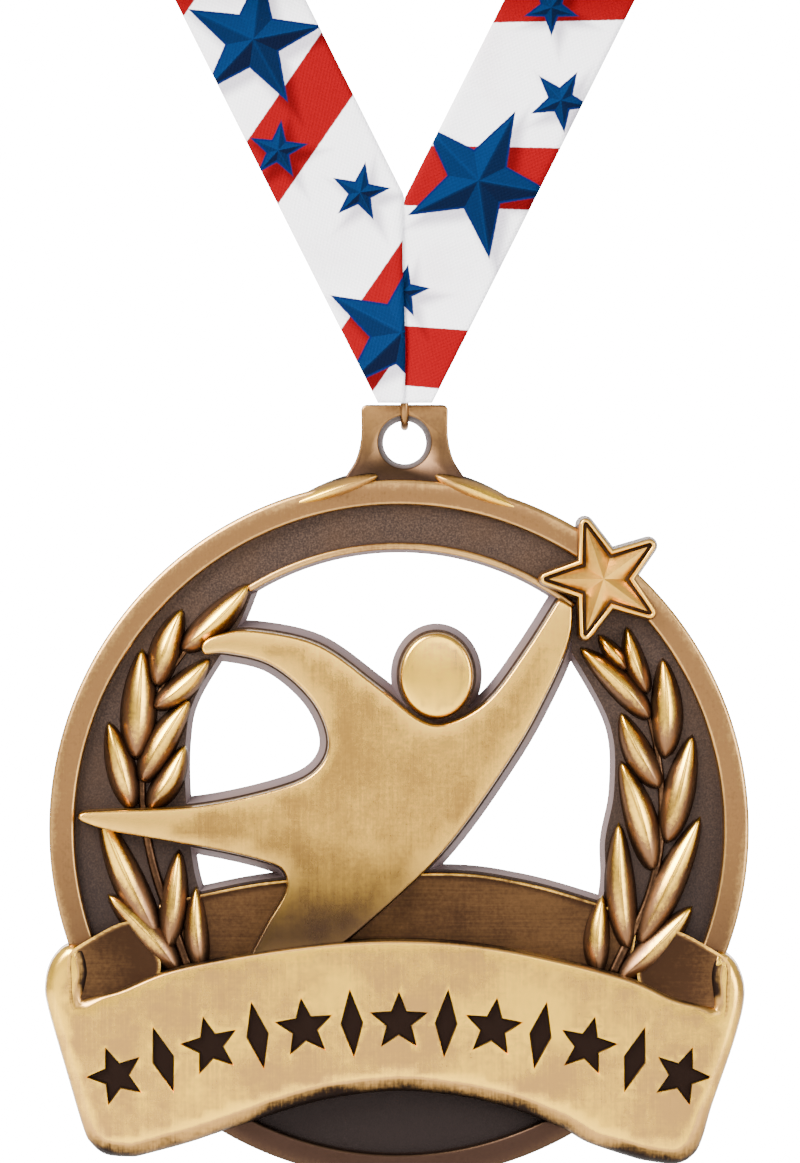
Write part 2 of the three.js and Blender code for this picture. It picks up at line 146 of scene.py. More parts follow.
def outline(*runs):
    """A closed outline made of runs; each starts where the last one ended."""
    out = []
    for run in runs:
        if len(run) == 2:
            out.append(Vector(run[0]))
        else:
            out.extend(spline(run))
    return out


def polygon(*corners):
    return [Vector(corner) for corner in corners]


def even(points, spacing):
    """The closed outline again with points no further apart than the spacing."""
    out = []
    for a, b in zip(points, points[1:] + points[:1]):
        count = max(1, math.ceil((b - a).length / spacing))
        out.extend(a.lerp(b, k / count) for k in range(count))
    return out


def soften(points, passes):
    """Rounds the corners of a closed outline a little."""
    for _ in range(passes):
        points = [
            (points[k - 1] + points[k] * 2 + points[(k + 1) % len(points)]) / 4
            for k in range(len(points))
        ]
    return points


def signed_area(points):
    return sum(a.x * b.y - b.x * a.y for a, b in zip(points, points[1:] + points[:1])) / 2


def outward(points):
    """Unit directions out of a closed outline, one for each point, stretched at its corners."""
    turn = 1 if signed_area(points) > 0 else -1
    out = []
    for k, point in enumerate(points):
        arriving = (point - points[k - 1]).normalized()
        leaving = (points[(k + 1) % len(points)] - point).normalized()
        normal = Vector((arriving.y + leaving.y, -arriving.x - leaving.x))
        length = max(normal.length, 1e-6)
        stretch = 1 / max(math.sqrt(max(1 + arriving.dot(leaving), 0) / 2), 0.62)
        out.append(normal * (turn * stretch / length))
    return out


def figure_outline():
    return outline(
        [(-19.7, 17.9), (-19.3, 18.6), (-17.8, 19.2), (-14.5, 19.6), (-8.1, 18.2), (-2.4, 14.2),
         (2.2, 10.6), (5.2, 10.4), (9.0, 12.7), (12.7, 17.6), (16.0, 22.8)],
        [(16.0, 22.8), (17.3, 22.0)],
        [(17.3, 22.0), (17.0, 18.8), (14.9, 13.7), (11.0, 6.7), (3.8, -3.1), (-6.5, -12.6)],
        [(-6.5, -12.6), (-15.2, -13.5)],
        [(-15.2, -13.5), (-13.2, -9.7), (-11.3, -6.4), (-11.5, -4.4), (-13.5, -3.4), (-18.6, -2.2),
         (-28.2, -0.5), (-31.3, 0.4), (-32.0, 0.9)],
        [(-32.0, 0.9), (-31.6, 1.4), (-29.5, 1.6), (-20.5, 2.0), (-13.0, 3.5), (-8.6, 5.3),
         (-7.0, 8.4), (-8.6, 12.6), (-12.7, 16.2), (-17.2, 17.4), (-19.3, 17.3), (-19.7, 17.9)],
    )


def ellipse(cx, cz, rx, rz, count=96):
    step = 2 * math.pi / count
    return [Vector((cx + rx * math.cos(k * step), cz + rz * math.sin(k * step))) for k in range(count)]


def round_corners(half, low, high, corner, steps):
    """The four round corners of an upright rectangle in turn, from the upper right."""
    centres = [(half - corner, high - corner), (corner - half, high - corner),
               (corner - half, low + corner), (half - corner, low + corner)]
    for quarter, (u, z) in enumerate(centres):
        for k in range(steps + 1):
            angle = (quarter + k / steps) * math.pi / 2
            yield u + corner * math.cos(angle), z + corner * math.sin(angle)


def star_outline(cx, cz, outer, inner, turn=math.pi / 2, tip_radius=0.0):
    """A five-pointed star. A tip radius rounds its tips, which then reach less far."""
    valley = Vector((math.cos(math.pi / 5), math.sin(math.pi / 5))) * inner
    half_tip = math.atan2(valley.y, outer - valley.x)
    out = []
    for k in range(10):
        angle = turn + k * math.pi / 5
        if k % 2:
            out.append(Vector((cx + inner * math.cos(angle), cz + inner * math.sin(angle))))
        elif tip_radius:
            reach = outer - tip_radius / math.sin(half_tip)
            middle = Vector((cx + reach * math.cos(angle), cz + reach * math.sin(angle)))
            sweep = math.pi / 2 - half_tip
            for step in range(-3, 4):
                bend = angle + sweep * step / 3
                out.append(middle + Vector((math.cos(bend), math.sin(bend))) * tip_radius)
        else:
            out.append(Vector((cx + outer * math.cos(angle), cz + outer * math.sin(angle))))
    return out


def scroll_outline():
    return outline(
        [(-31.4, -12.2), (-32.4, -11.8), (-33.6, -12.1), (-34.8, -13.6), (-35.3, -15.6), (-35.1, -17.9),
         (-33.2, -24.5), (-31.5, -30.2), (-30.7, -31.7), (-29.2, -32.8), (-26.4, -33.0)],
        [(-26.4, -33.0), (-21.2, -31.6), (-16.4, -30.0), (-8.0, -27.4), (0.3, -26.4), (8.5, -27.4),
         (15.7, -29.8), (19.0, -31.6), (24.2, -33.3)],
        [(24.2, -33.3), (27.6, -33.7), (29.4, -32.8), (30.3, -31.1), (31.2, -28.0), (33.6, -21.0),
         (34.5, -16.8), (33.9, -14.1), (32.7, -12.7), (31.6, -12.4)],
        [(31.6, -12.4), (31.1, -14.8), (31.4, -18.0)],
        [(31.4, -18.0), (27.5, -17.2), (22.1, -14.9), (10.0, -12.1), (0.1, -11.3), (-10.0, -12.0),
         (-21.9, -14.1), (-28.0, -16.4), (-31.6, -17.2)],
        [(-31.6, -17.2), (-31.0, -14.8), (-31.4, -12.2)],
    )


# ------------------------------------------------------------------ mesh builders

def add_object(name, data):
    made = bpy.data.objects.new(name, data)
    bpy.context.scene.collection.objects.link(made)
    return made


def solid(name, mesh_maker):
    """Makes an object from a bmesh that mesh_maker fills."""
    mesh = bpy.data.meshes.new(name)
    made = bmesh.new()
    mesh_maker(made)
    bmesh.ops.remove_doubles(made, verts=made.verts, dist=1e-6)
    bmesh.ops.recalc_face_normals(made, faces=made.faces)
    made.to_mesh(mesh)
    made.free()
    return add_object(name, mesh)


def piece(obj, body, look, replaced=()):
    """Gives an object its material, lets it ride on a body, and hides the CAD nodes it replaces."""
    obj.data.materials.clear()
    obj.data.materials.append(look)
    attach(obj, body)
    if replaced:
        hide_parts(*replaced)
    return obj


def vertex(made, layer, x, y, z, patina_and_shade):
    vert = made.verts.new(place(x, y, z))
    vert[layer] = patina_and_shade
    return vert


def ring_of(made, points, y, layer, patina_and_shade):
    """One level of a relief: a vertex for each point, all at one depth."""
    return [vertex(made, layer, point.x, y, point.y, patina_and_shade) for point in points]


def bridge(made, lower, upper, smooth=True):
    """Joins two closed rings of vertices by a band of faces."""
    count = len(lower)
    for k in range(count):
        face = made.faces.new((lower[k], lower[(k + 1) % count], upper[(k + 1) % count], upper[k]))
        face.smooth = smooth


def bridge_all(made, rings):
    for lower, upper in zip(rings, rings[1:]):
        bridge(made, lower, upper)


def neighbours(points, k):
    """The points after and before point k, which stands in for one that is missing."""
    return points[min(k + 1, len(points) - 1)], points[max(k - 1, 0)]


def relief(points, levels):
    """A solid with drafted, rounded walls. levels go from the back to the front, each a distance
    out from the outline, a depth, and how dark the patina is there (0 bright, 1 dark)."""
    directions = outward(points)

    def make(made):
        layer = made.verts.layers.float.new("patina_and_shade")
        rings = []
        for out, y, patina_and_shade in levels:
            moved = [p + d * out for p, d in zip(points, directions)]
            rings.append(ring_of(made, moved, y, layer, patina_and_shade))
        bridge_all(made, rings)
        made.faces.new(rings[-1]).smooth = False
        made.faces.new(rings[0]).smooth = False

    return make


def rounded_levels(back, front, radius, dark, steps=4):
    """Levels of an upright wall that turns over a rounded, rubbed edge to the front."""
    levels = [(0, back, dark), (0, (back + front) / 2, dark * 0.7)]
    for k in range(steps + 1):
        angle = k / steps * math.pi / 2
        patina_and_shade = 0.16 if k == steps else 0.45 * (1 - k / (steps - 1))
        levels.append((radius * (math.cos(angle) - 1), front + radius * (1 - math.sin(angle)), patina_and_shade))
    return levels


def cover(made, grid):
    """Faces over a grid of vertices."""
    for lower, upper in zip(grid, grid[1:]):
        for j in range(len(lower) - 1):
            made.faces.new((lower[j], lower[j + 1], upper[j + 1], upper[j])).smooth = True


def around(grid):
    """The vertices round the edge of a grid."""
    up, down = [row[0] for row in grid], [row[-1] for row in reversed(grid[:-1])]
    return up + grid[-1][1:] + down + grid[0][-2:0:-1]


def leaf(tip, base, width, rise, ground, bow=0.0):
    """A laurel leaf: a long dome with a ridge along its middle, lying on the ground depth."""
    tip, base = Vector(tip), Vector(base)
    along = tip - base
    side = Vector((along.y, -along.x)).normalized()
    rows, columns = 20, 12

    def make(made):
        layer = made.verts.layers.float.new("patina_and_shade")
        grid = []
        for i in range(rows + 1):
            t = i / rows
            swell = max(math.sin(math.pi * t ** 0.80), 0)
            centre = base + along * t + side * (bow * math.sin(math.pi * t))
            row = []
            for j in range(columns + 1):
                s = 2 * j / columns - 1
                dome = (1 - abs(s) ** 2.6) * 0.6 + (1 - abs(s)) * 0.4
                point = centre + side * (s * width / 2 * swell ** 0.62)
                y = ground - rise * swell ** 0.45 * dome
                dark = min(1, abs(s) ** 2 * 0.95 + 0.7 * (1 - t) ** 3)
                row.append(vertex(made, layer, point.x, y, point.y, dark))
            grid.append(row)
        cover(made, grid)
        rim = [row[0] for row in grid] + [row[-1] for row in reversed(grid)]
        made.faces.new(rim).smooth = False

    return make


def sweep_arc(profile, start, end, steps):
    """A closed profile of (radius, depth, patina) carried round the ring's centre."""
    whole = abs(end - start - 2 * math.pi) < 1e-6

    def make(made):
        layer = made.verts.layers.float.new("patina_and_shade")
        sections = []
        for k in range(steps if whole else steps + 1):
            angle = start + (end - start) * k / steps
            section = []
            for radius, y, patina_and_shade in profile:
                x = RING_CENTRE.x + radius * math.cos(angle)
                z = RING_CENTRE.y + radius * math.sin(angle)
                section.append(vertex(made, layer, x, y, z, patina_and_shade))
            sections.append(section)
        bridge_all(made, sections)
        if whole:
            bridge(made, sections[-1], sections[0])
        else:
            made.faces.new(sections[0]).smooth = False
            made.faces.new(sections[-1]).smooth = False

    return make


def tube(points, radii, sides):
    """A round wire along points in millimetres, with a radius for each point."""
    points = [Vector(p) for p in points]

    def make(made):
        layer = made.verts.layers.float.new("patina_and_shade")
        normal = Vector((0, 0, 1))
        sections = []
        for k, (point, radius) in enumerate(zip(points, radii)):
            ahead, behind = neighbours(points, k)
            tangent = (ahead - behind).normalized()
            if k == 0:
                helper = Vector((1, 0, 0)) if abs(tangent.x) < 0.7 else Vector((0, 1, 0))
                normal = tangent.cross(helper)
            normal = (normal - tangent * normal.dot(tangent)).normalized()
            binormal = tangent.cross(normal)
            section = []
            for side in range(sides):
                angle = 2 * math.pi * side / sides
                moved = point + (normal * math.cos(angle) + binormal * math.sin(angle)) * radius
                section.append(vertex(made, layer, *moved, 0.3))
            sections.append(section)
        bridge_all(made, sections)
        made.faces.new(sections[0]).smooth = False
        made.faces.new(sections[-1]).smooth = False

    return make


def inside(points, x, z):
    """Whether a point lies within a closed outline."""
    within = False
    for a, b in zip(points, points[1:] + points[:1]):
        if (a.y > z) != (b.y > z) and x < (b.x - a.x) * (z - a.y) / (b.y - a.y) + a.x:
            within = not within
    return within


def fill_outline(edge, holes, spacing):
    """Small triangles that fill an outline round its holes. Returns the points, whether each is
    on the edge, and the triangles."""
    low = Vector((min(p.x for p in edge), min(p.y for p in edge)))
    high = Vector((max(p.x for p in edge), max(p.y for p in edge)))
    coords = list(edge)
    joins = [(k, (k + 1) % len(edge)) for k in range(len(edge))]
    for points in holes:
        first = len(coords)
        coords += points
        joins += [(first + k, first + (k + 1) % len(points)) for k in range(len(points))]
    for j in range(int((high.y - low.y) / spacing)):
        for i in range(int((high.x - low.x) / spacing)):
            point = low + Vector((i + 0.5 * (j % 2) + 0.5, j + 0.5)) * spacing
            clear = min((point - p).length for p in edge) > 0.5 * spacing
            if clear and inside(edge, *point):
                coords.append(point)
    points, _, triangles, made_from, _, _ = delaunay_2d_cdt(coords, joins, [], 0, 1e-5)
    on_edge = [any(k < len(edge) for k in sources) for sources in made_from]
    kept = []
    for triangle in triangles:
        middle = sum((points[k] for k in triangle), Vector((0, 0))) / 3
        if inside(edge, *middle) and not any(inside(hole, *middle) for hole in holes):
            kept.append(triangle)
    return points, on_edge, kept


def sink_mark(made, layer, points, depth):
    """The walls and floor of a mark sunk in a face: bright at its edge and dark below."""
    sides = outward(points)
    sunk = 0.5
    rings = []
    for out, drop, patina_and_shade in ((0.0, 0.0, 0.0), (-0.06, 0.08, 0.1), (-0.16, sunk, 1.7)):
        moved = [p + d * out for p, d in zip(points, sides)]
        rings.append([vertex(made, layer, p.x, depth(p) + drop, p.y, patina_and_shade) for p in moved])
    bridge_all(made, rings)
    middle = sum(points, Vector((0, 0))) / len(points)
    centre = vertex(made, layer, middle.x, depth(middle) + sunk, middle.y, 1.7)
    for a, b in zip(rings[-1], rings[-1][1:] + rings[-1][:1]):
        made.faces.new((a, b, centre))


def carved_plate(outline_points, depth, radius, spacing, edge_dark=steady(0.35), sunk_marks=()):
    """A plate on the field with a rolled-over edge and marks sunk in its face. depth, radius and
    edge_dark are functions of a point; a bright line runs round the face where the edge starts."""
    edge = soften(even(outline_points, 0.6), 1)
    directions = outward(edge)
    turned = [radius(p) for p in edge]
    lip = [p - d * r for p, d, r in zip(edge, directions, turned)]
    marks = [even(points, 0.8) for points in sunk_marks]
    flat_points, on_edge, triangles = fill_outline(lip, marks, spacing)
    steps = 6

    def make(made):
        layer = made.verts.layers.float.new("patina_and_shade")
        foot = [p + d * 0.15 for p, d in zip(edge, directions)]
        rings = [ring_of(made, foot, FIELD + 0.1, layer, 0.9)]
        for k in range(steps + 1):
            angle = k / steps * math.pi / 2
            ring = []
            for p, d, r in zip(edge, directions, turned):
                moved = p + d * (r * (math.cos(angle) - 1))
                y = depth(moved) + r * (1 - math.sin(angle))
                dark = 0.0 if k == steps else edge_dark(p) * (1 - 0.5 * k / steps)
                ring.append(vertex(made, layer, moved.x, y, moved.y, dark))
            rings.append(ring)
        bridge_all(made, rings)
        made.faces.new(rings[0]).smooth = False
        top = [
            vertex(made, layer, point.x, depth(point), point.y, 0.0 if on_lip else 0.24)
            for point, on_lip in zip(flat_points, on_edge)
        ]
        for triangle in triangles:
            made.faces.new([top[k] for k in triangle])
        for points in marks:
            sink_mark(made, layer, points, depth)

    return make


def boolean(obj, other, operation):
    """Joins or cuts obj with other, and removes other."""
    modifier = obj.modifiers.new("cut", "BOOLEAN")
    modifier.operation = operation
    modifier.object = other
    modifier.solver = "MANIFOLD"
    graph = bpy.context.evaluated_depsgraph_get()
    mesh = bpy.data.meshes.new_from_object(obj.evaluated_get(graph))
    obj.modifiers.clear()
    obj.data = mesh
    bpy.data.objects.remove(other)


def smooth_by_angle(obj, degrees):
    """Smooths the curved stretches, and keeps the front and back faces flat and sharp edges sharp."""
    curved = [abs(face.normal.y) < 0.9995 for face in obj.data.polygons]
    obj.data.polygons.foreach_set("use_smooth", curved)
    obj.data.set_sharp_from_angle(angle=math.radians(degrees))


# ------------------------------------------------------------------ material helpers

class Nodes:
    """Short calls for building a tree of shader nodes."""

    def __init__(self, tree):
        self.tree = tree

    def feed(self, socket, value):
        if isinstance(value, bpy.types.NodeSocket):
            self.tree.links.new(value, socket)
        else:
            socket.default_value = value

    def add(self, kind, inputs=None, **settings):
        made = self.tree.nodes.new(kind)
        for key, value in settings.items():
            setattr(made, key, value)
        for key, value in (inputs or {}).items():
            self.feed(made.inputs[key], value)
        return made

    def math(self, operation, *values):
        made = self.add("ShaderNodeMath", operation=operation)
        for socket, value in zip(made.inputs, values):
            self.feed(socket, value)
        return made.outputs[0]

    def vector(self, operation, *values):
        made = self.add("ShaderNodeVectorMath", operation=operation)
        for socket, value in zip(made.inputs, values):
            self.feed(socket, value)
        return made.outputs[0]

    def split(self, vector):
        return self.add("ShaderNodeSeparateXYZ", {0: vector}).outputs

    def blend(self, amount, a, b, kind="MIX"):
        inputs = {"Factor": amount, "A": a, "B": b}
        return self.add("ShaderNodeMix", inputs, data_type="RGBA", blend_type=kind).outputs["Result"]

    def ramp(self, value, low, high, to_low=0.0, to_high=1.0):
        """Runs smoothly from to_low to to_high as the value goes from low to high."""
        inputs = {"Value": value, "From Min": low, "From Max": high, "To Min": to_low, "To Max": to_high}
        return self.add("ShaderNodeMapRange", inputs, interpolation_type="SMOOTHSTEP").outputs["Result"]

    def noise(self, vector, scale, detail=3.0, roughness=0.55):
        inputs = {"Vector": vector, "Scale": scale, "Detail": detail, "Roughness": roughness}
        return self.add("ShaderNodeTexNoise", inputs).outputs["Fac"]

    def stretch(self, vector, x, y, z):
        return self.add("ShaderNodeMapping", {"Vector": vector, "Scale": (x, y, z)}).outputs["Vector"]

    def wave(self, value, spacing):
        return self.math("SINE", self.math("MULTIPLY", value, 2 * math.pi / spacing))


class Look(Nodes):
    """A material, built from where a point is to the finished shader."""

    def __init__(self, name):
        self.material = bpy.data.materials.new(name)
        self.material.use_nodes = True
        super().__init__(self.material.node_tree)
        self.shader = self.tree.nodes["Principled BSDF"]

    def where(self):
        """Where a point is in the row frame, in metres."""
        return self.add("ShaderNodeTexCoord").outputs["Object"]

    # The darkness each piece carries at its vertices: patina in its hollows and, in the scroll's rolled
    # ends, painted shade.
    def patina_and_shade(self):
        return self.add("ShaderNodeAttribute", attribute_name="patina_and_shade").outputs["Fac"]

    def bump(self, rise, strength, distance):
        inputs = {"Height": rise, "Strength": strength, "Distance": distance}
        return self.add("ShaderNodeBump", inputs).outputs["Normal"]

    def finish(self, **inputs):
        for key, value in inputs.items():
            self.feed(self.shader.inputs[key.replace("_", " ")], value)
        return self.material


def antique_metal(name, bright, middle, dark, roughness, brush=1.0, grain=0.4, patches=0.8, painted_shade=None,
                  along_x=False):
    """Antique-plated metal: bright where rubbed, dark in its hollows, finely brushed upright or
    along X. painted_shade is a height where the painted shade is darkest and one where it has gone, in the
    drawing: below them the metal is painted darker, as if less lit."""
    t = Look(name)
    where = t.where()
    grain_scale = (130, 900, 5200) if along_x else (5200, 900, 130)
    lines = t.noise(t.stretch(where, *grain_scale), 1.0, 4.0, 0.6)
    cross = t.noise(t.stretch(where, 300, 300, 4200), 1.0, 2.0, 0.5)
    cloud = t.noise(where, 120.0, 4.0, 0.6)
    specks = t.noise(where, 2600.0, 2.0, 0.6)
    age = t.patina_and_shade()
    for pattern, share in ((cloud, patches), (lines, 0.42 * brush), (cross, 0.16 * brush), (specks, grain)):
        age = t.math("MULTIPLY_ADD", t.math("SUBTRACT", pattern, 0.5), share, age)
    first = t.blend(t.ramp(age, -0.05, 0.42), bright, middle)
    colour = t.blend(t.ramp(age, 0.45, 1.0), first, dark)
    # Painted shade: towards the bottom the colour is blended into a dark brown, with a cloudy edge, as if
    # less light fell there.
    if painted_shade:
        up = t.math("MULTIPLY_ADD", cloud, -0.004, t.split(where)["Z"])
        low, high = (ZERO.z + z * MM for z in painted_shade)
        colour = t.blend(t.ramp(up, low, high, 0.95, 0.0), colour, PAINTED_SHADE_DARK)
    rough = t.math("MULTIPLY_ADD", t.ramp(age, 0.2, 1.0), 0.25, roughness)
    rise = t.math("MULTIPLY_ADD", lines, brush, t.math("MULTIPLY", specks, grain))
    return t.finish(Base_Color=colour, Roughness=rough, Metallic=1.0, Normal=t.bump(rise, 0.12, 0.00004))


def dark_ground(name):
    """The oxidised, finely pitted ground of the casting's hollows, painted darker towards the bottom as
    shade; its walls and back stay bronze.
    """
    t = Look(name)
    coordinates = t.add("ShaderNodeTexCoord").outputs
    where = coordinates["Object"]
    facing = t.split(coordinates["Normal"])["Y"]
    front = t.ramp(t.math("MULTIPLY", facing, -1.0), 0.55, 0.85)
    rear = t.ramp(facing, 0.55, 0.85)
    grit = t.noise(where, 5200.0, 3.0, 0.7)
    pits = t.noise(where, 1700.0, 2.0, 0.5)
    cloud = t.noise(where, 110.0, 4.0, 0.6)
    lines = t.noise(t.stretch(where, 5200, 900, 130), 1.0, 4.0, 0.6)
    ground = t.blend(t.ramp(grit, 0.35, 0.75), (0.028, 0.017, 0.013, 1), (0.085, 0.052, 0.036, 1))
    ground = t.blend(t.ramp(cloud, 0.35, 0.75, 0.0, 0.45), ground, (0.075, 0.038, 0.018, 1))
    # Painted shade: the ground is blended towards near black at the bottom of the medal, and only a little
    # near its top.
    below = t.ramp(t.split(where)["Z"], ZERO.z - 30 * MM, ZERO.z + 30 * MM, 1.0, 0.1)
    ground = t.blend(below, ground, (0.014, 0.009, 0.008, 1))
    wall = t.blend(t.ramp(t.patina_and_shade(), 0.05, 0.9), (0.15, 0.105, 0.105, 1), (0.05, 0.026, 0.018, 1))
    wall = t.blend(t.ramp(cloud, 0.45, 0.75, 0.0, 0.4), wall, (0.17, 0.10, 0.06, 1))
    satin = t.blend(t.ramp(lines, 0.3, 0.7), (0.26, 0.148, 0.06, 1), (0.215, 0.12, 0.046, 1))
    satin = t.blend(t.ramp(cloud, 0.4, 0.8, 0.0, 0.3), satin, (0.15, 0.08, 0.035, 1))
    colour = t.blend(rear, t.blend(front, wall, ground), satin)
    rough = t.math("MULTIPLY_ADD", rear, -0.25, 0.62)
    metal = t.ramp(t.math("ADD", front, rear), 0.0, 1.0, 0.4, 0.85)
    texture = t.math("MULTIPLY_ADD", pits, 0.6, grit)
    normal = t.bump(texture, t.ramp(front, 0.0, 1.0, 0.08, 0.4), 0.00007)
    return t.finish(Base_Color=colour, Roughness=rough, Metallic=metal, Normal=normal)


# ------------------------------------------------------------------ ribbon

STRAP_ANGLE = math.radians(63.3)
STRAP_WIDTH = 11.7
STRAP_THICK = 0.36
TIP_Z = height(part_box("ribbon_strap_left")[0].z)
TIP_EDGES = {-1: -2.1, 1: 3.3}
SEAM_X = 0.5
STRAP_TOP = height(HANK_LOW.z) + 3.5
FLAP_BEND = height(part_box("ribbon_end_loop")[1].z)
STRAP_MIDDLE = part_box("ribbon_strap_left")[1].y / MM - 0.25
FLAP_LEAN = STRAP_MIDDLE - 0.25 - front_of("ribbon_strap_left")
STRIPE_PERIOD = 18.45
STRIPE_WIDTH = 6.15
WHITE = (0.93, 0.92, 0.94, 1)
RED = (0.165, 0.0, 0.002, 1)
DEEP_BLUE = (0.0, 0.002, 0.012, 1)
LIGHT_BLUE = (0.0, 0.015, 0.06, 1)
EDGE_BLUE = (0.0, 0.006, 0.05, 1)
SHADE_GREY = (0.34, 0.31, 0.37, 1)


def printed_star_group():
    """A node group that draws one faceted star: its mask, which is 0 along its outline, and its
    shading."""
    group = bpy.data.node_groups.new("PrintedStar", "ShaderNodeTree")
    for label, kind in (("Point", "NodeSocketVector"), ("Centre", "NodeSocketVector"),
                        ("Radius", "NodeSocketFloat"), ("Turn", "NodeSocketFloat")):
        group.interface.new_socket(label, in_out="INPUT", socket_type=kind)
    for label in ("Mask", "Shade"):
        group.interface.new_socket(label, in_out="OUTPUT", socket_type="NodeSocketFloat")
    t = Nodes(group)
    given = t.add("NodeGroupInput").outputs
    result = t.add("NodeGroupOutput").inputs
    away = t.split(t.vector("SUBTRACT", given["Point"], given["Centre"]))
    x = t.math("DIVIDE", away["X"], given["Radius"])
    z = t.math("DIVIDE", away["Z"], given["Radius"])
    reach = t.math("SQRT", t.math("ADD", t.math("MULTIPLY", x, x), t.math("MULTIPLY", z, z)))
    angle = t.math("SUBTRACT", t.math("ARCTAN2", z, x), given["Turn"])
    fifth = 2 * math.pi / 5
    tip = t.math("MULTIPLY", t.math("ROUND", t.math("DIVIDE", angle, fifth)), fifth)
    folded = t.math("SUBTRACT", angle, tip)
    across = t.math("MULTIPLY", reach, t.math("ABSOLUTE", t.math("SINE", folded)))
    along = t.math("SUBTRACT", t.math("MULTIPLY", reach, t.math("COSINE", folded)), 1.0)
    mask = t.math("ADD", t.math("MULTIPLY", along, 0.328), t.math("MULTIPLY", across, 0.945))
    t.feed(result["Mask"], mask)
    facing = t.math("MULTIPLY_ADD", t.math("SIGN", folded), 1.2, t.math("ADD", tip, given["Turn"]))
    lit = t.math("MULTIPLY_ADD", t.math("COSINE", t.math("SUBTRACT", facing, 2.2)), 0.5, 0.5)
    t.feed(result["Shade"], t.math("ADD", lit, t.ramp(across, 0.0, 0.035, 0.25, 0.0)))
    return group


PRINTED_STAR = printed_star_group()


def star_fields(t, point, star):
    """The mask and the shading of one printed star, given as (x, z, radius, turn in degrees)."""
    x, z, radius, turn = star
    inputs = {"Point": point, "Centre": (x, 0, z), "Radius": radius, "Turn": math.radians(turn)}
    drawn = t.add("ShaderNodeGroup", inputs, node_tree=PRINTED_STAR)
    return drawn.outputs["Mask"], drawn.outputs["Shade"]


def with_shadow(t, point, star, colour):
    mask = star_fields(t, point, star)[0]
    soft = 0.9 / star[2]
    return t.blend(t.ramp(mask, -soft * 0.5, soft, 0.8, 0.0), colour, SHADE_GREY, "MULTIPLY")


def with_star(t, point, star, colour):
    mask, shade = star_fields(t, point, star)
    radius = star[2]
    blue = t.blend(shade, DEEP_BLUE, LIGHT_BLUE)
    blue = t.blend(t.ramp(mask, -0.16 / radius, -0.32 / radius), EDGE_BLUE, blue)
    return t.blend(t.ramp(mask, -0.08 / radius, 0.02 / radius, 1.0, 0.0), colour, blue)


def stripes(t, point, normal, start, fan):
    """1 in the stripes and 0 between them. They repeat along their normal, and with a fan, which
    is (rate, x, z), they turn slowly with height about that point."""
    at = t.split(point)
    run = t.math("MULTIPLY_ADD", at["Z"], normal[1], t.math("MULTIPLY", at["X"], normal[0]))
    if fan:
        rate, fan_x, fan_z = fan
        aside = t.math("SUBTRACT", at["X"], fan_x)
        above = t.math("SUBTRACT", at["Z"], fan_z)
        run = t.math("MULTIPLY_ADD", t.math("MULTIPLY", aside, above), -rate, run)
    phase = t.math("FLOORED_MODULO", t.math("SUBTRACT", run, start), STRIPE_PERIOD)
    into = t.ramp(phase, 0.0, 0.12)
    out = t.ramp(phase, STRIPE_WIDTH, STRIPE_WIDTH + 0.12, 1.0, 0.0)
    return t.math("MULTIPLY", into, out)


def print_point(t, across, along, repeat):
    """Where a point is on the print, in millimetres and a little unevenly. With a repeat, the print
    follows the ribbon's own length and starts again after each such length."""
    if repeat:
        again = t.math("FLOORED_MODULO", along, repeat)
        point = t.add("ShaderNodeCombineXYZ", {"X": across, "Z": again}).outputs[0]
    else:
        inputs = {"Vector": t.where(), "Location": tuple(-ZERO / MM), "Scale": (1 / MM, 1 / MM, 1 / MM)}
        point = t.add("ShaderNodeMapping", inputs).outputs["Vector"]
    wobble = t.add("ShaderNodeTexNoise", {"Vector": point, "Scale": 3.2}).outputs["Color"]
    return t.vector("MULTIPLY_ADD", wobble, (0.10, 0.10, 0.10), point)


def printed_ribbon(name, stars, stripe_normal, stripe_start, repeat=None, fan=None):
    """Knitted ribbon printed with red stripes and faceted blue stars that cast soft shadows."""
    t = Look(name)
    uv = t.add("ShaderNodeUVMap", uv_map="UVMap").outputs["UV"]
    across, along = t.split(uv)["X"], t.split(uv)["Y"]
    point = print_point(t, across, along, repeat)
    cloud = t.noise(point, 0.16, 3.0, 0.5)
    white = t.blend(t.ramp(cloud, 0.45, 0.75, 0.0, 0.5), WHITE, (0.80, 0.70, 0.74, 1))
    colour = t.blend(stripes(t, point, stripe_normal, stripe_start, fan), white, RED)
    shadow_point = t.vector("ADD", point, (-0.75, 0.0, 0.85))
    for star in stars:
        colour = with_shadow(t, shadow_point, star, colour)
    for star in stars:
        colour = with_star(t, point, star, colour)
    fuzz = t.noise(t.stretch(uv, 4, 4, 4), 2.0, 3.0, 0.6)
    loops = t.math("MULTIPLY", t.wave(across, 0.42), t.wave(along, 0.52))
    knit = t.math("MULTIPLY_ADD", loops, 0.5, fuzz)
    # Painted shade: the print is darkened where the knit's loops dip.
    colour = t.blend(t.ramp(knit, 0.1, 1.0, 0.38, 0.0), colour, (0.70, 0.69, 0.74, 1), "MULTIPLY")
    t.shader.inputs["Specular IOR Level"].default_value = 0.05
    return t.finish(Base_Color=colour, Roughness=0.82, Normal=t.bump(knit, 0.35, 0.00012))


def map_faces(made, mapped):
    """Gives each face corner its place on the flat ribbon, in millimetres."""
    uv_layer = made.loops.layers.uv.new("UVMap")
    for face in made.faces:
        for loop in face.loops:
            loop[uv_layer].uv = mapped[loop.vert]


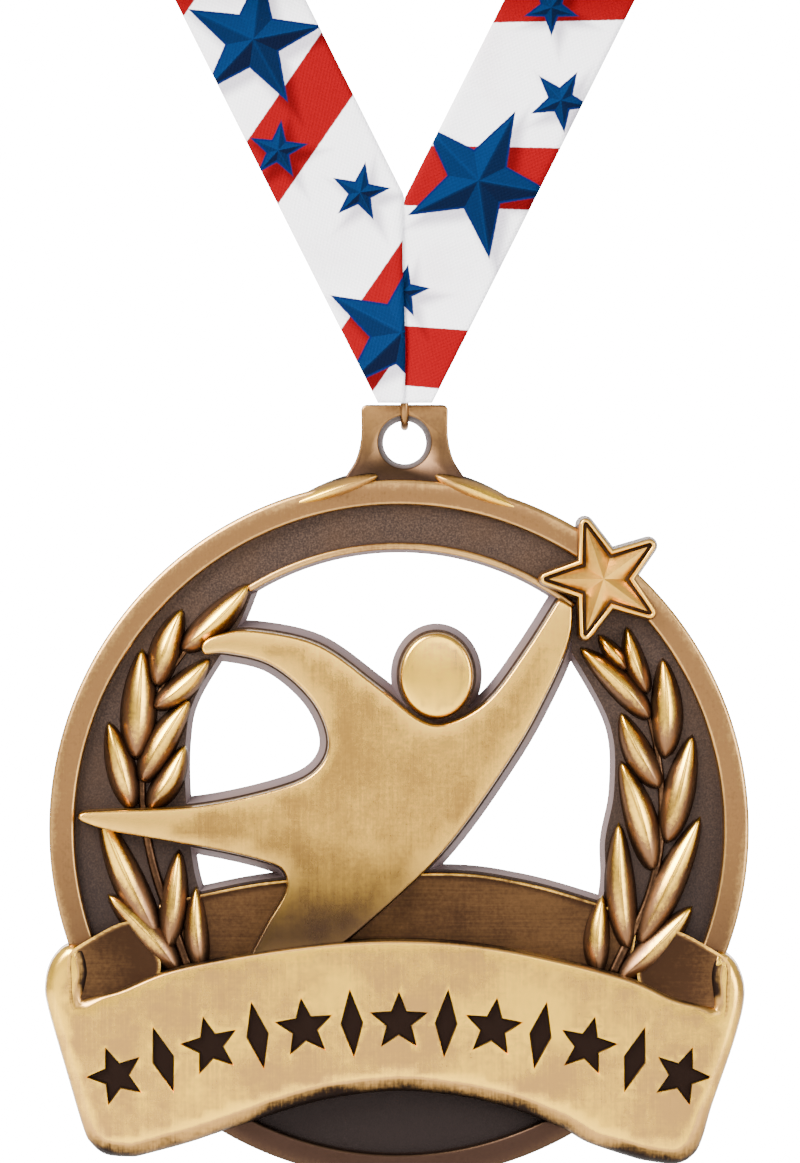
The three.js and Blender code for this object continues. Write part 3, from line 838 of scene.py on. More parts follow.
def strap(side):
    """One strap: rows up its length, from its outer edge to the seam or to its inner edge."""
    tilt = 1 / math.tan(STRAP_ANGLE)
    across = STRAP_WIDTH / math.sin(STRAP_ANGLE)
    outer_tip = TIP_EDGES[side]
    crotch = TIP_Z + (across - abs(outer_tip - SEAM_X)) / tilt
    rows, columns = 110, 22
    reference = Vector((outer_tip, TIP_Z))
    up = Vector((side * math.cos(STRAP_ANGLE), math.sin(STRAP_ANGLE)))
    over = Vector((-side * up.y, side * up.x))

    def edges(z):
        """The strap's outer and inner edge. Below the crotch it ends at the seam, which wanders a
        little, and the right strap goes on behind the left one."""
        outer = outer_tip + side * tilt * (z - TIP_Z)
        seam = SEAM_X + 0.14 * math.sin((z - TIP_Z) * 0.31)
        inner = outer - side * across
        if side * (inner - seam) < 0:
            inner = seam
        if side > 0 and z < crotch - 0.4:
            inner = seam - 0.9
        return outer, inner

    def depth(x, z, share):
        """The strap's middle depth. It leans forward below the end loop's top, and more at its tip.
        At the seam the left strap lies in front, with its edge turned back. It waves a little."""
        y = STRAP_MIDDLE
        if z < FLAP_BEND:
            y -= FLAP_LEAN * (FLAP_BEND - z) / (FLAP_BEND - TIP_Z)
        near_seam = math.exp(-((x - SEAM_X) / 1.6) ** 2) * clamp((crotch - z) / 3 + 0.4)
        y += side * 0.22 * near_seam
        if side < 0 and z < crotch:
            y += 0.12 * max(0, 1 - abs(x - SEAM_X) / 0.35) ** 2
        y += 0.10 * math.sin(z * 0.23 + side) * math.sin(share * 3.0 + side)
        y -= 0.15 * max(0, 1 - (z - TIP_Z) / 4)
        return y

    def make(made):
        mapped = {}
        rims = []
        for face_side in (-1, 1):
            grid = []
            for i in range(rows + 1):
                z = TIP_Z + (STRAP_TOP - TIP_Z) * i / rows
                outer, inner = edges(z)
                row = []
                for j in range(columns + 1):
                    share = j / columns
                    x = outer + (inner - outer) * share
                    pinch = 1 - 0.55 * max(0, abs(2 * share - 1) - 0.92) / 0.08
                    y = depth(x, z, share) + face_side * STRAP_THICK / 2 * pinch
                    vert = made.verts.new(place(x, y, z))
                    offset = Vector((x, z)) - reference
                    mapped[vert] = (offset.dot(over), offset.dot(up))
                    row.append(vert)
                grid.append(row)
            cover(made, grid)
            rims.append(around(grid))
        bridge(made, *rims)
        map_faces(made, mapped)

    return make


def strip(path, columns, width, faces, position):
    """A ribbon that follows a path in a plane. faces(share) gives how far its two faces lie off the
    path, and position(point, share, run) turns a point of the plane into x, y and z."""
    shares = [j / columns for j in range(columns + 1)]

    def make(made):
        mapped = {}
        sections = []
        run = 0.0
        for k, point in enumerate(path):
            ahead, behind = neighbours(path, k)
            tangent = (ahead - behind).normalized()
            normal = Vector((-tangent.y, tangent.x))
            if k:
                run += (point - path[k - 1]).length
            section = []
            for face, order in enumerate((shares, shares[::-1])):
                for share in order:
                    moved = point + normal * faces(share)[face]
                    vert = made.verts.new(place(*position(moved, share, run)))
                    mapped[vert] = (width * share, run)
                    section.append(vert)
            sections.append(section)
        bridge_all(made, sections)
        made.faces.new(sections[0])
        made.faces.new(sections[-1])
        map_faces(made, mapped)

    return make


def crosswise(middle_x, width):
    """Places a strip that lies across X and runs in the plane of Y and Z."""
    return lambda point, share, run: (middle_x + width * (share - 0.5), point.x, point.y)


# How far the two faces of the put-away ribbon and the end loop lie off their middle.
FACES = steady((-0.17, 0.17))


def hank_path():
    """The put-away ribbon's run to and fro, seen from above: points in X and Y."""
    low_x, high_x = ((corner.x - ZERO.x) / MM for corner in (HANK_LOW, HANK_HIGH))
    middle_x = (low_x + high_x) / 2
    middle_y = (HANK_LOW.y + HANK_HIGH.y) / 2 / MM
    half = (high_x - low_x) / 2 - 1.0
    layers = 13
    pitch = 0.52
    room_for_straps = 0.42

    def y_of(layer, x):
        away = layer - layers / 2
        open_out = min(1, abs(x - middle_x) / 9) ** 2
        spread = pitch * (0.86 + 0.14 * open_out)
        return middle_y + away * spread + math.copysign(room_for_straps, away + 0.01)

    path = []
    for layer in range(layers):
        heading = 1 if layer % 2 == 0 else -1
        reach = half - 0.7 * abs(math.sin(layer * 2.3))
        for k in range(29):
            x = middle_x + heading * reach * (2 * k / 28 - 1)
            wave = 0.03 * math.sin(x * 0.8 + layer * 1.7)
            path.append(Vector((x, y_of(layer, x) + wave)))
        if layer == layers - 1:
            break
        end_x = middle_x + heading * reach
        y0, y1 = y_of(layer, end_x), y_of(layer + 1, end_x)
        bulge = 0.55 + 0.35 * abs(math.sin(layer * 1.9))
        for k in range(1, 8):
            angle = math.pi * k / 8
            x = end_x + heading * bulge * math.sin(angle)
            path.append(Vector((x, (y0 + y1) / 2 - (y1 - y0) / 2 * math.cos(angle))))
    return path


def hank(path):
    """The folded ribbon: a thin upright strip along the path."""
    low, high = height(HANK_LOW.z) + 0.25, height(HANK_HIGH.z) - 0.25

    def position(point, share, run):
        sag = 0.144 * math.sin(run * 0.021) + 0.08 * math.sin(run * 0.13)
        return point.x, point.y, low + (high - low) * share + sag

    return strip(path, 8, STRAP_WIDTH, FACES, position)


def end_loop():
    """The ribbon's end: down behind the seam, round the bail's top wire and back up."""
    bar_z = height(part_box("ribbon_bail")[1].z) - 0.5
    turn_z, turn_radius = bar_z + 0.1, 0.82
    route = [(-1.08, FLAP_BEND + 2), (-1.06, FLAP_BEND), (-0.96, bar_z + 2), (-0.86, bar_z + 0.9)]
    for k in range(17):
        angle = math.pi + math.pi * k / 16
        route.append((turn_radius * math.cos(angle), turn_z + turn_radius * math.sin(angle)))
    route += [(0.76, bar_z + 0.9), (0.30, bar_z + 2), (-0.40, bar_z + 2.9), (-0.68, FLAP_BEND),
              (-0.70, FLAP_BEND + 2)]
    width = 4.4
    return strip(polygon(*route), 8, width, FACES, crosswise(LUG_X, width))


def tie_band():
    """The tape round the hank's middle: a flat band whose end laps over at the back."""
    tie_low, tie_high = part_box("hank_tie")
    middle_x = (tie_low.x + tie_high.x) / 2 / MM - ZERO.x / MM
    middle_y = (tie_low.y + tie_high.y) / 2 / MM
    width, thick = 4.6, 0.3
    half_y, corner = 3.62, 0.9
    bottom, top = height(HANK_LOW.z) - 0.15, height(HANK_HIGH.z) + 0.15
    middle_z = (bottom + top) / 2
    route = [(half_y, middle_z - 2.4)] + list(round_corners(half_y, bottom, top, corner, 6))
    route += [(half_y + 0.36, bottom + 2.0), (half_y + 0.36, middle_z + 2.0)]

    def faces(share):
        crown = 0.10 * (1 - (2 * share - 1) ** 2)
        return -thick - crown, -crown

    path = [Vector((middle_y + y, z)) for y, z in route]
    return strip(path, 6, width, faces, crosswise(middle_x, width))


def woven_tape(name, colour, shade):
    t = Look(name)
    uv = t.add("ShaderNodeUVMap", uv_map="UVMap").outputs["UV"]
    ribs, warp = t.wave(t.split(uv)["Y"], 0.32), t.wave(t.split(uv)["X"], 0.36)
    weave = t.math("MULTIPLY_ADD", ribs, 0.6, t.math("MULTIPLY", warp, 0.4))
    fuzz = t.noise(uv, 3.0, 3.0, 0.6)
    # The tape is darker in random patches of its dye and, as painted shade, in the dips of its weave.
    tone = t.math("MULTIPLY_ADD", fuzz, 0.8, t.math("MULTIPLY", weave, 0.2))
    t.shader.inputs["Specular IOR Level"].default_value = 0.1
    dyed = t.blend(tone, shade, colour)
    return t.finish(Base_Color=dyed, Roughness=0.8, Normal=t.bump(weave, 0.4, 0.00008))


def left_print():
    stars = [(-14.55, 78.8, 7.3, -61), (-12.05, 67.7, 3.15, 12), (-3.84, 63.5, 3.2, 8),
             (0.3, 49.4, 8.2, 152)]
    return printed_ribbon("ribbon_print_left", stars, (0.824, -0.566), -51.4)


def right_print():
    stars = [(16.25, 72.7, 3.4, 60), (8.0, 64.65, 8.0, 62), (0.4, 53.6, 2.9, 78), (15.3, 82.0, 3.0, -90)]
    return printed_ribbon("ribbon_print_right", stars, (0.087, 0.996), 62.3, fan=(0.0031, 8.0, 46.0))


def hank_print():
    stars = [(6.0, 9.0, 7.6, 20), (4.0, 21.5, 3.1, 50), (8.0, 31.0, 3.2, 5)]
    rise = 0.893
    return printed_ribbon("ribbon_print_hank", stars, (0.45, rise), 0.0, repeat=2 * STRIPE_PERIOD / rise)


def cloth(name, mesh_maker, look, node):
    """A piece of the ribbon, in place of one CAD node."""
    return piece(solid(name, mesh_maker), "ribbon", look, [node])


def ribbon():
    """The two straps, the end loop, the put-away length and its tie."""
    looks = left_print(), right_print(), hank_print()
    left = cloth("strap_left", strap(-1), looks[0], "ribbon_strap_left")
    right = cloth("strap_right", strap(1), looks[1], "ribbon_strap_right")
    loop = cloth("end_loop", end_loop(), looks[2], "ribbon_end_loop")
    path = hank_path()
    folded = cloth("folded_ribbon", hank(path), looks[2], "ribbon_hank")
    red_tape = woven_tape("red_tape", (0.24, 0.004, 0.008, 1), (0.10, 0.002, 0.004, 1))
    tie = cloth("tie_tape", tie_band(), red_tape, "hank_tie")

    put_away = sum((b - a).length for a, b in zip(path, path[1:]))


# ------------------------------------------------------------------ medal

HEAD_MIDDLE = Vector((3.75, 15.1))
HEAD_HALF_WIDTH, HEAD_HALF_HEIGHT = 3.64, 4.25
STAR_X, STAR_Z = 20.4, 24.75


def cast(name, mesh_maker, look, nodes, sharp_above=None):
    """A piece of the medal's casting. Edges sharper than sharp_above, in degrees, stay sharp."""
    made = solid(name, mesh_maker)
    if sharp_above:
        smooth_by_angle(made, sharp_above)
    piece(made, "medal", look, nodes)


def head_outline():
    return ellipse(*HEAD_MIDDLE, HEAD_HALF_WIDTH, HEAD_HALF_HEIGHT)


def star_border_outline():
    return star_outline(STAR_X, STAR_Z, 7.5, 3.05, math.pi, tip_radius=0.6)


def lug_hole():
    return ellipse(LUG_X, 38.45, 2.65, 2.65, 64)


def laurel_ground_left():
    return outline(
        [(-14.6, 23.3), (-16.2, 19.6), (-20.2, 13.0), (-21.2, 8.7), (-21.2, 2.8), (-20.4, -4.3),
         (-19.0, -9.0), (-18.0, -14.0)],
        [(-18.0, -14.0), (-27.0, -14.0)],
        [(-27.0, -14.0), (-29.5, 0.0), (-26.5, 14.0), (-19.0, 23.5), (-14.6, 23.3)],
    )


def laurel_ground_right():
    return outline(
        [(17.2, 17.3), (17.0, 22.0)],
        [(17.0, 22.0), (25.5, 21.5)],
        [(25.5, 21.5), (29.5, 0.0), (27.0, -14.0)],
        [(27.0, -14.0), (18.5, -14.0)],
        [(18.5, -14.0), (20.4, -6.5), (20.5, -1.4), (21.4, 3.7), (21.0, 10.1), (17.2, 17.3)],
    )


def scroll_back_ground():
    return outline(
        [(-24.0, -7.4), (-19.5, -6.3), (-11.2, -4.9), (4.2, -4.2), (12.1, -5.1), (19.4, -7.1),
         (24.0, -8.8)],
        [(24.0, -8.8), (24.0, -20.0)],
        [(24.0, -20.0), (-24.0, -20.0)],
        [(-24.0, -20.0), (-24.0, -7.4)],
    )


def lens_ground():
    """The part of the disc below the scroll."""
    reach = RING_RADIUS - 1.0
    angles = [-2.5 + 1.86 * k / 48 for k in range(49)]
    return [RING_CENTRE + Vector((math.cos(angle), math.sin(angle))) * reach for angle in angles]


def lug_outline():
    half_top, half_foot, foot = 4.35, 5.8, 34.6
    right = spline([(half_foot + 1.2, foot - 1.4), (half_foot, foot + 0.6), (half_top + 0.5, foot + 2.2),
                    (half_top, foot + 4.4), (half_top, LUG_TOP - 0.5)])
    right += polygon((half_top, LUG_TOP - 0.5), (half_top - 0.15, LUG_TOP - 0.15),
                     (half_top - 0.5, LUG_TOP))
    left = [Vector((-p.x, p.y)) for p in reversed(right)]
    return [Vector((LUG_X + p.x, p.y)) for p in right + left]


def drafted(wide, narrow):
    """The levels of a casting's wall: rounded at the back, and leaning in to the field."""
    middle = (wide + narrow) / 2
    return [(wide - 0.18, BACK, 0.2), (wide - 0.05, BACK - 0.05, 0.0), (wide, BACK - 0.18, 0.0),
            (middle, (BACK + FIELD) / 2, 0.1), (narrow, FIELD, 0.35)]


def medal_casting(look):
    rim = ellipse(0, RING_CENTRE.y, RING_RADIUS, RING_RADIUS, 300)
    casting = solid("medal_casting", relief(rim, drafted(0.0, -0.08)))
    window = ellipse(0, RING_CENTRE.y, WINDOW_RADIUS, WINDOW_RADIUS, 240)
    through = [(0.2, BACK + 1, 0.1), (0.2, BACK, 0.1), (0.0, BACK - 0.2, 0.0), (0.3, 0.0, 0.1),
               (0.5, FIELD, 0.3), (0.5, FIELD - 1, 0.3)]
    boolean(casting, solid("window", relief(window, through)), "DIFFERENCE")
    left_ear = polygon((-32.5, -12.5), (-29.5, -12.5), (-29.0, -17.5), (-32.5, -17.8))
    right_ear = polygon((32.5, -12.8), (29.5, -12.8), (29.0, -18.0), (32.5, -18.5))
    # Each ground, and how far its wall stands out from its outline at the back and at the field.
    grounds = [
        (figure_outline(), 1.0, 0.3),
        (head_outline(), 0.95, 0.35),
        (ellipse(4.2, 11.3, 2.9, 1.6), 0.3, 0.0),
        (scroll_outline(), 0.1, 0.0),
        (laurel_ground_left(), 0.35, -0.15),
        (laurel_ground_right(), 0.35, -0.15),
        (scroll_back_ground(), 0.35, -0.15),
        (lens_ground(), 0.0, -0.05),
        (lug_outline(), 0.0, -0.1),
        (star_border_outline(), 0.35, 0.25),
        (left_ear, 0.0, 0.0),
        (right_ear, 0.0, 0.0),
    ]
    for index, (points, wide, narrow) in enumerate(grounds):
        ground = solid(f"ground_{index}", relief(points, drafted(wide, narrow)))
        boolean(casting, ground, "UNION")
    tapered = [(-0.5, BACK + 1, 0.2), (-0.5, BACK - 0.1, 0.2), (0, FIELD, 0.9), (0, FIELD - 1, 0.9)]
    boolean(casting, solid("lug_hole", relief(lug_hole(), tapered)), "DIFFERENCE")
    smooth_by_angle(casting, 35)
    piece(casting, "medal", look, ["medal_plate"])


def ring_rim(look):
    inner = RING_RADIUS - RIM_WIDTH
    profile = [
        (RING_RADIUS - 0.08, FIELD + 0.1, 0.5), (RING_RADIUS - 0.08, RIM_FRONT + 0.35, 0.3),
        (RING_RADIUS - 0.2, RIM_FRONT + 0.1, 0.0), (RING_RADIUS - 0.5, RIM_FRONT, 0.2),
        ((RING_RADIUS + inner) / 2, RIM_FRONT + 0.02, 0.5), (inner + 0.35, RIM_FRONT, 0.45),
        (inner + 0.18, RIM_FRONT + 0.04, 0.0), (inner + 0.03, RIM_FRONT + 0.2, 0.0),
        (inner - 0.12, FIELD + 0.1, 0.95),
    ]
    made = sweep_arc(profile, 0, 2 * math.pi, 320)
    cast("ring_rim", made, look, ["ring_rim_left", "ring_rim_right", "ring_rim_lower"])


def window_lip(look):
    inner = WINDOW_RADIUS + 0.3
    profile = [
        (inner, FIELD + 0.1, 0.6), (inner, FIELD - 0.35, 0.2), (inner + 0.15, FIELD - 0.5, 0.0),
        (inner + 0.5, FIELD - 0.5, 0.0), (inner + 0.68, FIELD - 0.35, 0.2),
        (inner + 0.75, FIELD + 0.1, 0.9),
    ]
    made = sweep_arc(profile, math.radians(52), math.radians(122), 90)
    cast("window_edge", made, look, ["window_lip"])


def lug_face(look):
    levels = rounded_levels(FIELD + 0.1, FIELD - 0.6, 0.25, 0.6)
    face = solid("lug_face", relief(even(lug_outline(), 0.6), levels))
    through = [(0, BACK + 1, 0.7), (0, FIELD - 0.45, 0.3), (0.15, FIELD - 0.62, 0), (0.5, FIELD - 1, 0)]
    boolean(face, solid("lug_face_hole", relief(lug_hole(), through)), "DIFFERENCE")
    smooth_by_angle(face, 50)
    piece(face, "medal", look)


def figure_body(look):
    made = carved_plate(figure_outline(), steady(FIGURE_FRONT), steady(0.3), 1.5)
    cast("figure_relief", made, look, ["figure_body"], 40)


def figure_head(look):
    front = front_of("figure_head")

    def depth(point):
        return front + 0.25 * ((point - HEAD_MIDDLE).length / HEAD_HALF_HEIGHT) ** 2

    made = carved_plate(head_outline(), depth, steady(0.45), 0.6)
    cast("figure_head_disc", made, look, ["figure_head"], 60)


def star(border_look, facet_look):
    """A bead round the star's outline, a dark groove inside it and a faceted pyramid within."""
    front, groove = STAR_BORDER_FRONT, STAR_BORDER_FRONT + 0.55
    levels = [
        (0.25, FIELD + 0.1, 0.9), (0.08, front + 0.5, 0.6), (0.0, front + 0.2, 0.2), (-0.12, front, 0.0),
        (-0.28, front, 0.0), (-0.4, front + 0.2, 0.5), (-0.5, groove, 1.0),
    ]
    bead = relief(star_border_outline(), levels)
    cast("star_edge", bead, border_look, ["star_border"], 60)
    corners = star_outline(STAR_X, STAR_Z, 5.4, 2.15, math.pi)

    def facets(made):
        layer = made.verts.layers.float.new("patina_and_shade")
        foot = ring_of(made, corners, groove + 0.1, layer, 1.0)
        rise = []
        for k, corner in enumerate(corners):
            y = groove - 0.05 if k % 2 else front - 0.05
            rise.append(vertex(made, layer, corner.x, y, corner.y, 0.18))
        bridge(made, foot, rise, smooth=False)
        made.faces.new(foot).smooth = False
        tip = vertex(made, layer, STAR_X, STAR_TIP, STAR_Z, 0.0)
        for a, b in zip(rise, rise[1:] + rise[:1]):
            made.faces.new((a, b, tip)).smooth = False

    cast("star_pyramid", facets, facet_look, ["star_facets"])


def scroll_depth(point):
    """The scroll's face: flat in the middle, with its two ends rolling back."""
    away = max(0.0, abs(point.x) - 25.5) / 9.0
    return SCROLL_FRONT + 0.95 * away ** 2


def arch(x):
    """The height of the scroll's middle line, and how it leans there."""
    return -19.4 - 6.1 * (x / 30) ** 2, math.atan(-12.2 * x / 900)


def faces_inside(point):
    """How far a point of the scroll's outline is on an ear's inner side, from 0 to 1."""
    corner = -18.0 if point.x > 0 else -17.3
    if abs(point.x) > 31.9:
        return 0.0
    return clamp((abs(point.x) - 30.6) / 0.3) * clamp((point.y - corner) / 1.6)


def edge_radius(point):
    """How far the scroll's face rolls over: a little along its top, a lot below and at its ears."""
    to_end = clamp((abs(point.x) - 29.5) / 2.0)
    if point.y > arch(point.x)[0] + 2.0:
        return 0.35 + 0.75 * to_end + 0.25 * faces_inside(point)
    return 1.7 - 0.5 * to_end


def edge_patina_and_shade(point):
    """The scroll's turned edge is dark below and along its top, and rubbed bright at its ends. The dark is
    patina and, below and most of all on the ears' inner sides, painted shade.
    """
    to_end = clamp((abs(point.x) - 29.5) / 2.5)
    below = 1.15 if point.y < arch(point.x)[0] - 2.0 and abs(point.x) < 31.5 else 0.8
    plain = below + (0.25 - below) * to_end
    # Painted shade: the ears' inner sides, inside the rolled ends, are painted darkest.
    return plain + (1.4 - plain) * faces_inside(point)


def scroll_marks():
    """Stars and upright lozenges in turn, along the scroll's arch."""
    count, reach = 13, 28.2
    out = []
    for k in range(count):
        x = -reach + 2 * reach * k / (count - 1)
        z, lean = arch(x)
        if k % 2:
            middle = Vector((x, z))
            along = Vector((math.cos(lean), math.sin(lean))) * 1.15
            up = Vector((-math.sin(lean), math.cos(lean))) * 3.5
            out.append([middle + along, middle + up, middle - along, middle - up])
        else:
            out.append(star_outline(x, z, 3.1, 1.35, math.pi / 2 + lean))
    return out


def scroll_front(look):
    made = carved_plate(scroll_outline(), scroll_depth, edge_radius, 0.9, edge_patina_and_shade, scroll_marks())
    cast("scroll_face", made, look, ["scroll_front"], 40)


def scroll_back(look):
    """The sheet that shows behind the legs, with a bead along its top edge."""
    top = spline([(-24.0, -7.9), (-19.5, -6.8), (-11.2, -5.4), (4.2, -4.7), (12.1, -5.6), (19.4, -7.6),
                  (24.0, -9.3)])
    sheet = top + polygon((24.0, -9.3), (22.0, -21.0), (-22.0, -21.0))
    levels = [(0.1, FIELD + 0.1, 0.6), (0.05, FIELD - 0.25, 0.4), (-0.05, FIELD - 0.35, 0.2),
              (-0.2, FIELD - 0.35, 0.3), (-0.32, FIELD - 0.2, 1.0), (-0.9, FIELD - 0.15, 0.75)]
    nodes = ["scroll_back_left", "scroll_back_right"]
    cast("scroll_back_sheet", relief(sheet, levels), look, nodes, 60)


def inner_sheet(edge):
    """A sheet with a bright edge that comes forward as it nears the scroll's end. Its face is painted
    darker deeper inside the rolled end: patina and painted shade.
    """

    def make(made):
        layer = made.verts.layers.float.new("patina_and_shade")
        rings = [ring_of(made, edge, FIELD + 0.1, layer, 0.9)]
        for inset, bright in ((0.0, 1.0), (0.22, 0.9), (0.5, 0.0)):
            ring = []
            for point, side_way in zip(edge, outward(edge)):
                moved = point - side_way * inset
                to_ear = clamp((abs(moved.x) - 26.5) / 6.0)
                y = RIM_FRONT + 0.15 - 1.5 * to_ear ** 1.6 - 0.12 * bright
                # Patina and painted shade: darkest far inside the roll, lighter towards the open ear.
                dark = (1.0 - 0.4 * to_ear ** 1.5) * (1 - bright) + 0.1 * bright
                ring.append(vertex(made, layer, moved.x, y, moved.y, dark))
            rings.append(ring)
        bridge_all(made, rings)
        made.faces.new(rings[0])
        made.faces.new(rings[-1])

    return make


def scroll_insides(look):
    """The inner face of each rolled end."""
    corners = [(33.2, -12.6), (31.6, -11.6), (28.6, -9.9), (26.4, -9.2), (23.6, -13.6), (24.6, -17.0),
               (32.8, -18.6)]
    for side, lower, node in ((-1, 0.0, "scroll_inside_left"), (1, 0.8, "scroll_inside_right")):
        edge = soften(even([Vector((side * x, z - lower)) for x, z in corners], 0.8), 2)
        cast(node + "_sheet", inner_sheet(edge), look, [node], 50)


# Each leaf's tip, base and width, from the top of the branch down.
LEAVES = {
    "left": [
        ((-14.9, 24.3), (-21.2, 18.1), 2.5), ((-21.7, 21.8), (-24.1, 14.6), 2.5),
        ((-25.7, 17.8), (-26.3, 7.6), 2.9), ((-18.9, 16.8), (-24.1, 12.2), 2.2),
        ((-20.9, 12.8), (-25.4, 5.0), 2.5), ((-29.1, 10.5), (-26.9, 2.4), 2.4),
        ((-21.4, 8.1), (-24.7, 2.2), 2.3), ((-30.0, 1.6), (-24.6, -10.2), 2.6),
        ((-22.0, -2.3), (-23.0, -11.6), 2.3), ((-29.2, -6.8), (-22.6, -14.0), 2.5),
        ((-20.3, -6.0), (-19.8, -13.9), 2.1),
    ],
    "right": [
        ((18.1, 17.9), (24.6, 11.3), 2.3), ((22.8, 20.0), (24.7, 13.8), 1.9),
        ((19.9, 19.2), (22.6, 15.9), 1.5),
        ((26.4, 16.9), (26.6, 7.6), 2.6), ((22.2, 11.4), (25.8, 4.4), 2.4),
        ((29.4, 9.2), (27.0, -0.8), 2.6), ((22.2, 6.6), (25.2, -3.6), 2.6),
        ((22.0, 0.4), (22.8, -11.4), 2.5), ((30.2, 1.0), (24.6, -10.9), 2.6),
        ((29.4, -8.0), (22.6, -14.9), 2.5), ((20.4, -6.9), (19.9, -14.3), 2.2),
    ],
}


def laurels(look):
    for side, leaves in LEAVES.items():
        for index, (tip, base, width) in enumerate(leaves, start=1):
            tip, base = Vector(tip), Vector(base)
            foot = base + (base - tip) * 0.10
            rise = 1.9 - 0.04 * index
            bow = 0.35 * math.sin(index * 2.1)
            node = f"laurel_{side}_leaf_{index}"
            made = leaf(tip, foot, width * 1.3, rise, FIELD, bow)
            cast(node + "_relief", made, look, [node])


def laurel_stems(look):
    """The twig that the leaves of each branch grow from, half sunk in the field."""
    twigs = {
        "left": [(-20.6, 18.6), (-23.6, 14.2), (-25.4, 8.4), (-25.7, 2.6), (-24.6, -4.0), (-22.4, -10.5),
                 (-20.9, -14.6)],
        "right": [(23.2, 15.6), (25.0, 11.2), (26.2, 5.0), (26.2, -1.6), (24.9, -7.4), (22.8, -11.8),
                  (21.2, -15.2)],
    }
    for side, twig in twigs.items():
        route = [(p.x, FIELD, p.y) for p in spline(twig, 6)]
        radii = [0.25 + 0.35 * k / len(route) for k in range(len(route))]
        cast(f"laurel_{side}_twig", tube(route, radii, 12), look, [])


def rim_leaves(look):
    for side, tip, base in (("left", (-11.2, 32.0), (-1.8, 35.2)), ("right", (12.7, 31.5), (3.3, 35.2))):
        made = leaf(tip, base, 2.2, FIELD - RIM_FRONT + 0.7, FIELD)
        cast(f"rim_leaf_{side}_relief", made, look, [f"rim_leaf_{side}"])


# ------------------------------------------------------------------ ring and bail

def wire_loop(half_width, low, high, corner, radius, position):
    """Round wire bent round a rectangle with round corners, its ends meeting in one side.
    position turns a point of the loop's plane into x, y and z."""
    middle, joint = (low + high) / 2, 0.05
    corners = list(round_corners(half_width, low, high, corner, 9))
    route = [(half_width, middle + joint)] + corners + [(half_width, middle - joint)]
    return tube([position(u, z) for u, z in route], [radius] * len(route), 20)


def jump_ring(look):
    radius = 0.4
    low, high = height(RING_LOW.z) + radius, height(RING_HIGH.z) - radius
    made = wire_loop(2.1, low, high, 2.06, radius, lambda u, z: (LUG_X, u, z))
    piece(solid("round_ring", made), "ring", look, ["jump_ring"])


def ribbon_bail(look):
    radius = 0.5
    low, high = (height(corner.z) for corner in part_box("ribbon_bail"))
    made = wire_loop(3.7, low + radius, high - radius, 0.9, radius, lambda u, z: (LUG_X + u, 0.0, z))
    piece(solid("bail_wire", made), "bail", look, ["ribbon_bail"])


# ------------------------------------------------------------------ assembly

GOLD = (0.80, 0.44, 0.07, 1)
PALE_GOLD = (1.0, 0.59, 0.06, 1)
DEEP_GOLD = (0.38, 0.20, 0.045, 1)
MAUVE = (0.17, 0.085, 0.04, 1)
BROWN = (0.035, 0.017, 0.009, 1)
# The dark brown of the painted shade that darkens the lower parts of some metals.
PAINTED_SHADE_DARK = (0.034, 0.019, 0.015, 1)
WARM_GOLD = (0.93, 0.53, 0.085, 1)
OLD_GOLD = (0.48, 0.26, 0.07, 1)
SOOT = (0.014, 0.008, 0.006, 1)
DULL_BRONZE = (0.29, 0.15, 0.05, 1)
WORN = (0.48, 0.27, 0.085, 1)
WORN_DEEP = (0.22, 0.11, 0.04, 1)
INNER_DEEP = (0.09, 0.045, 0.018, 1)

flat_gold = antique_metal("polished_bronze", PALE_GOLD, OLD_GOLD, SOOT, 0.27, brush=0.7, grain=0.2,
                          patches=1.15)
# Painted shade darkens the figure's legs, the rim's lower part and the lug's foot.
figure_gold = antique_metal("figure_bronze", WARM_GOLD, DEEP_GOLD, BROWN, 0.27, brush=0.7, grain=0.25,
                            painted_shade=(-12.5, 0.5))
leaf_gold = antique_metal("rubbed_bronze", PALE_GOLD, MAUVE, BROWN, 0.26, brush=0.3, grain=0.3)
twig_bronze = antique_metal("twig_bronze", MAUVE, BROWN, BROWN, 0.34, brush=0.2, grain=0.4)
rim_gold = antique_metal("worn_bronze", WORN, WORN_DEEP, BROWN, 0.34, brush=0.6, grain=0.5,
                         painted_shade=(-26.0, 2.0))
star_gold = antique_metal("star_border_bronze", GOLD, WORN_DEEP, BROWN, 0.30, brush=0.2, grain=0.3)
lug_gold = antique_metal("worn_lug_bronze", DULL_BRONZE, WORN_DEEP, BROWN, 0.36, brush=0.6, grain=0.8,
                         painted_shade=(32.0, 41.5))
inner_gold = antique_metal("scroll_inner_bronze", GOLD, INNER_DEEP, BROWN, 0.36, brush=0.8, along_x=True)
wire_gold = antique_metal("drawn_wire", WORN, WORN_DEEP, BROWN, 0.28, brush=0.2, grain=0.2)
ground = dark_ground("oxidised_ground")

medal_casting(ground)
ring_rim(rim_gold)
window_lip(rim_gold)
lug_face(lug_gold)
figure_body(figure_gold)
figure_head(flat_gold)
star(star_gold, figure_gold)
scroll_front(flat_gold)
scroll_back(inner_gold)
scroll_insides(inner_gold)
laurels(leaf_gold)
laurel_stems(twig_bronze)
rim_leaves(flat_gold)
jump_ring(wire_gold)
ribbon_bail(wire_gold)

ribbon()

# ------------------------------------------------------------------ stage, light and camera

VIEW_CENTRE = place(0.1, -2.0, 24.5)
VIEW_HEIGHT = 0.1163
CAMERA_DISTANCE = 0.6
FLOOR_Z = cad_low.z - 0.06


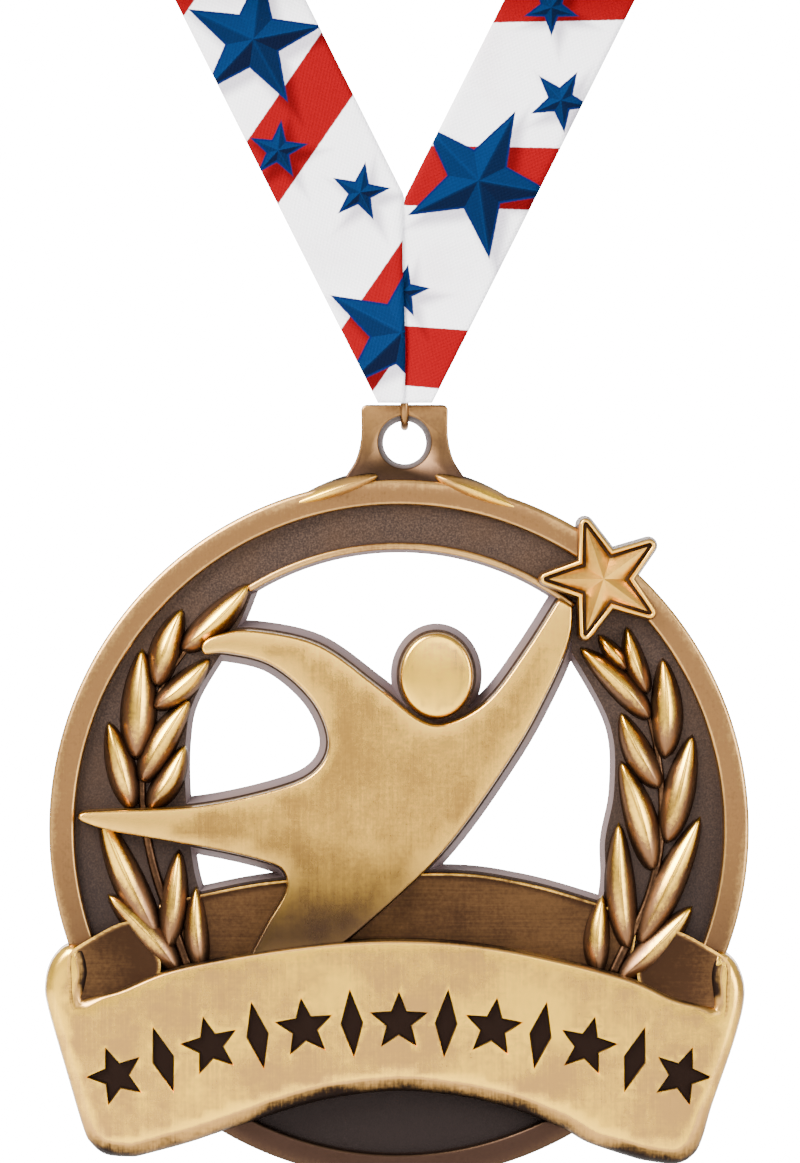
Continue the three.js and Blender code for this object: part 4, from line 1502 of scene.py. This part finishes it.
def floor():
    """A pale floor below the object, which ends half a metre behind it."""
    mesh = bpy.data.meshes.new("floor")
    far = 0.5
    corners = [(-2, -2, FLOOR_Z), (2, -2, FLOOR_Z), (2, far, FLOOR_Z), (-2, far, FLOOR_Z)]
    mesh.from_pydata(corners, [], [(0, 1, 2, 3)])
    t = Look("pale_floor")
    tone = t.noise(t.where(), 30.0, 2.0)
    pale = t.blend(tone, (0.80, 0.80, 0.80, 1), (0.84, 0.84, 0.84, 1))
    mesh.materials.append(t.finish(Base_Color=pale, Roughness=0.9))
    add_object("floor", mesh)


def studio():
    """A white glow behind the object and dim light from the rest of the room."""
    world = bpy.data.worlds.new("studio")
    bpy.context.scene.world = world
    world.use_nodes = True
    t = Nodes(world.node_tree)
    towards = t.split(t.add("ShaderNodeTexCoord").outputs["Generated"])["Y"]
    level = t.add("ShaderNodeValToRGB", {"Fac": towards})
    steps = level.color_ramp.elements
    steps[0].position, steps[0].color = 0.0, (0.03, 0.03, 0.03, 1)
    steps[1].position, steps[1].color = 0.985, (1, 1, 1, 1)
    for position in (0.15, 0.93):
        steps.new(position).color = (0.045, 0.045, 0.045, 1)
    background = t.tree.nodes["Background"].inputs
    background["Color"].default_value = (1.0, 1.0, 1.0, 1)
    t.feed(background["Strength"], t.math("MULTIPLY", level.outputs["Color"], 20.0))


def soft_light(name, offset, size, power, tint=(1, 1, 1)):
    data = bpy.data.lights.new(name, "AREA")
    data.shape = "RECTANGLE"
    data.size, data.size_y = size
    data.energy = power
    data.color = tint
    made = add_object(name, data)
    made.location = VIEW_CENTRE + Vector(offset)
    made.rotation_euler = (-Vector(offset)).to_track_quat("-Z", "Y").to_euler()


def camera():
    data = bpy.data.cameras.new("camera")
    data.sensor_fit = "VERTICAL"
    data.sensor_height = 36.0
    data.lens = data.sensor_height * CAMERA_DISTANCE / VIEW_HEIGHT
    data.clip_start = 0.01
    made = add_object("camera", data)
    made.location = VIEW_CENTRE - Vector((0, CAMERA_DISTANCE, 0))
    made.rotation_euler = (math.pi / 2, 0, 0)
    bpy.context.scene.camera = made


floor()
studio()
soft_light("key", (-0.48, -0.42, 0.50), (0.40, 0.50), 29.0, (1.0, 0.98, 0.95))
soft_light("fill", (0.62, -0.45, 0.10), (0.30, 0.50), 7.0, (0.95, 0.97, 1.0))
soft_light("front", (0.10, -0.95, 0.25), (0.45, 0.30), 2.2)
camera()
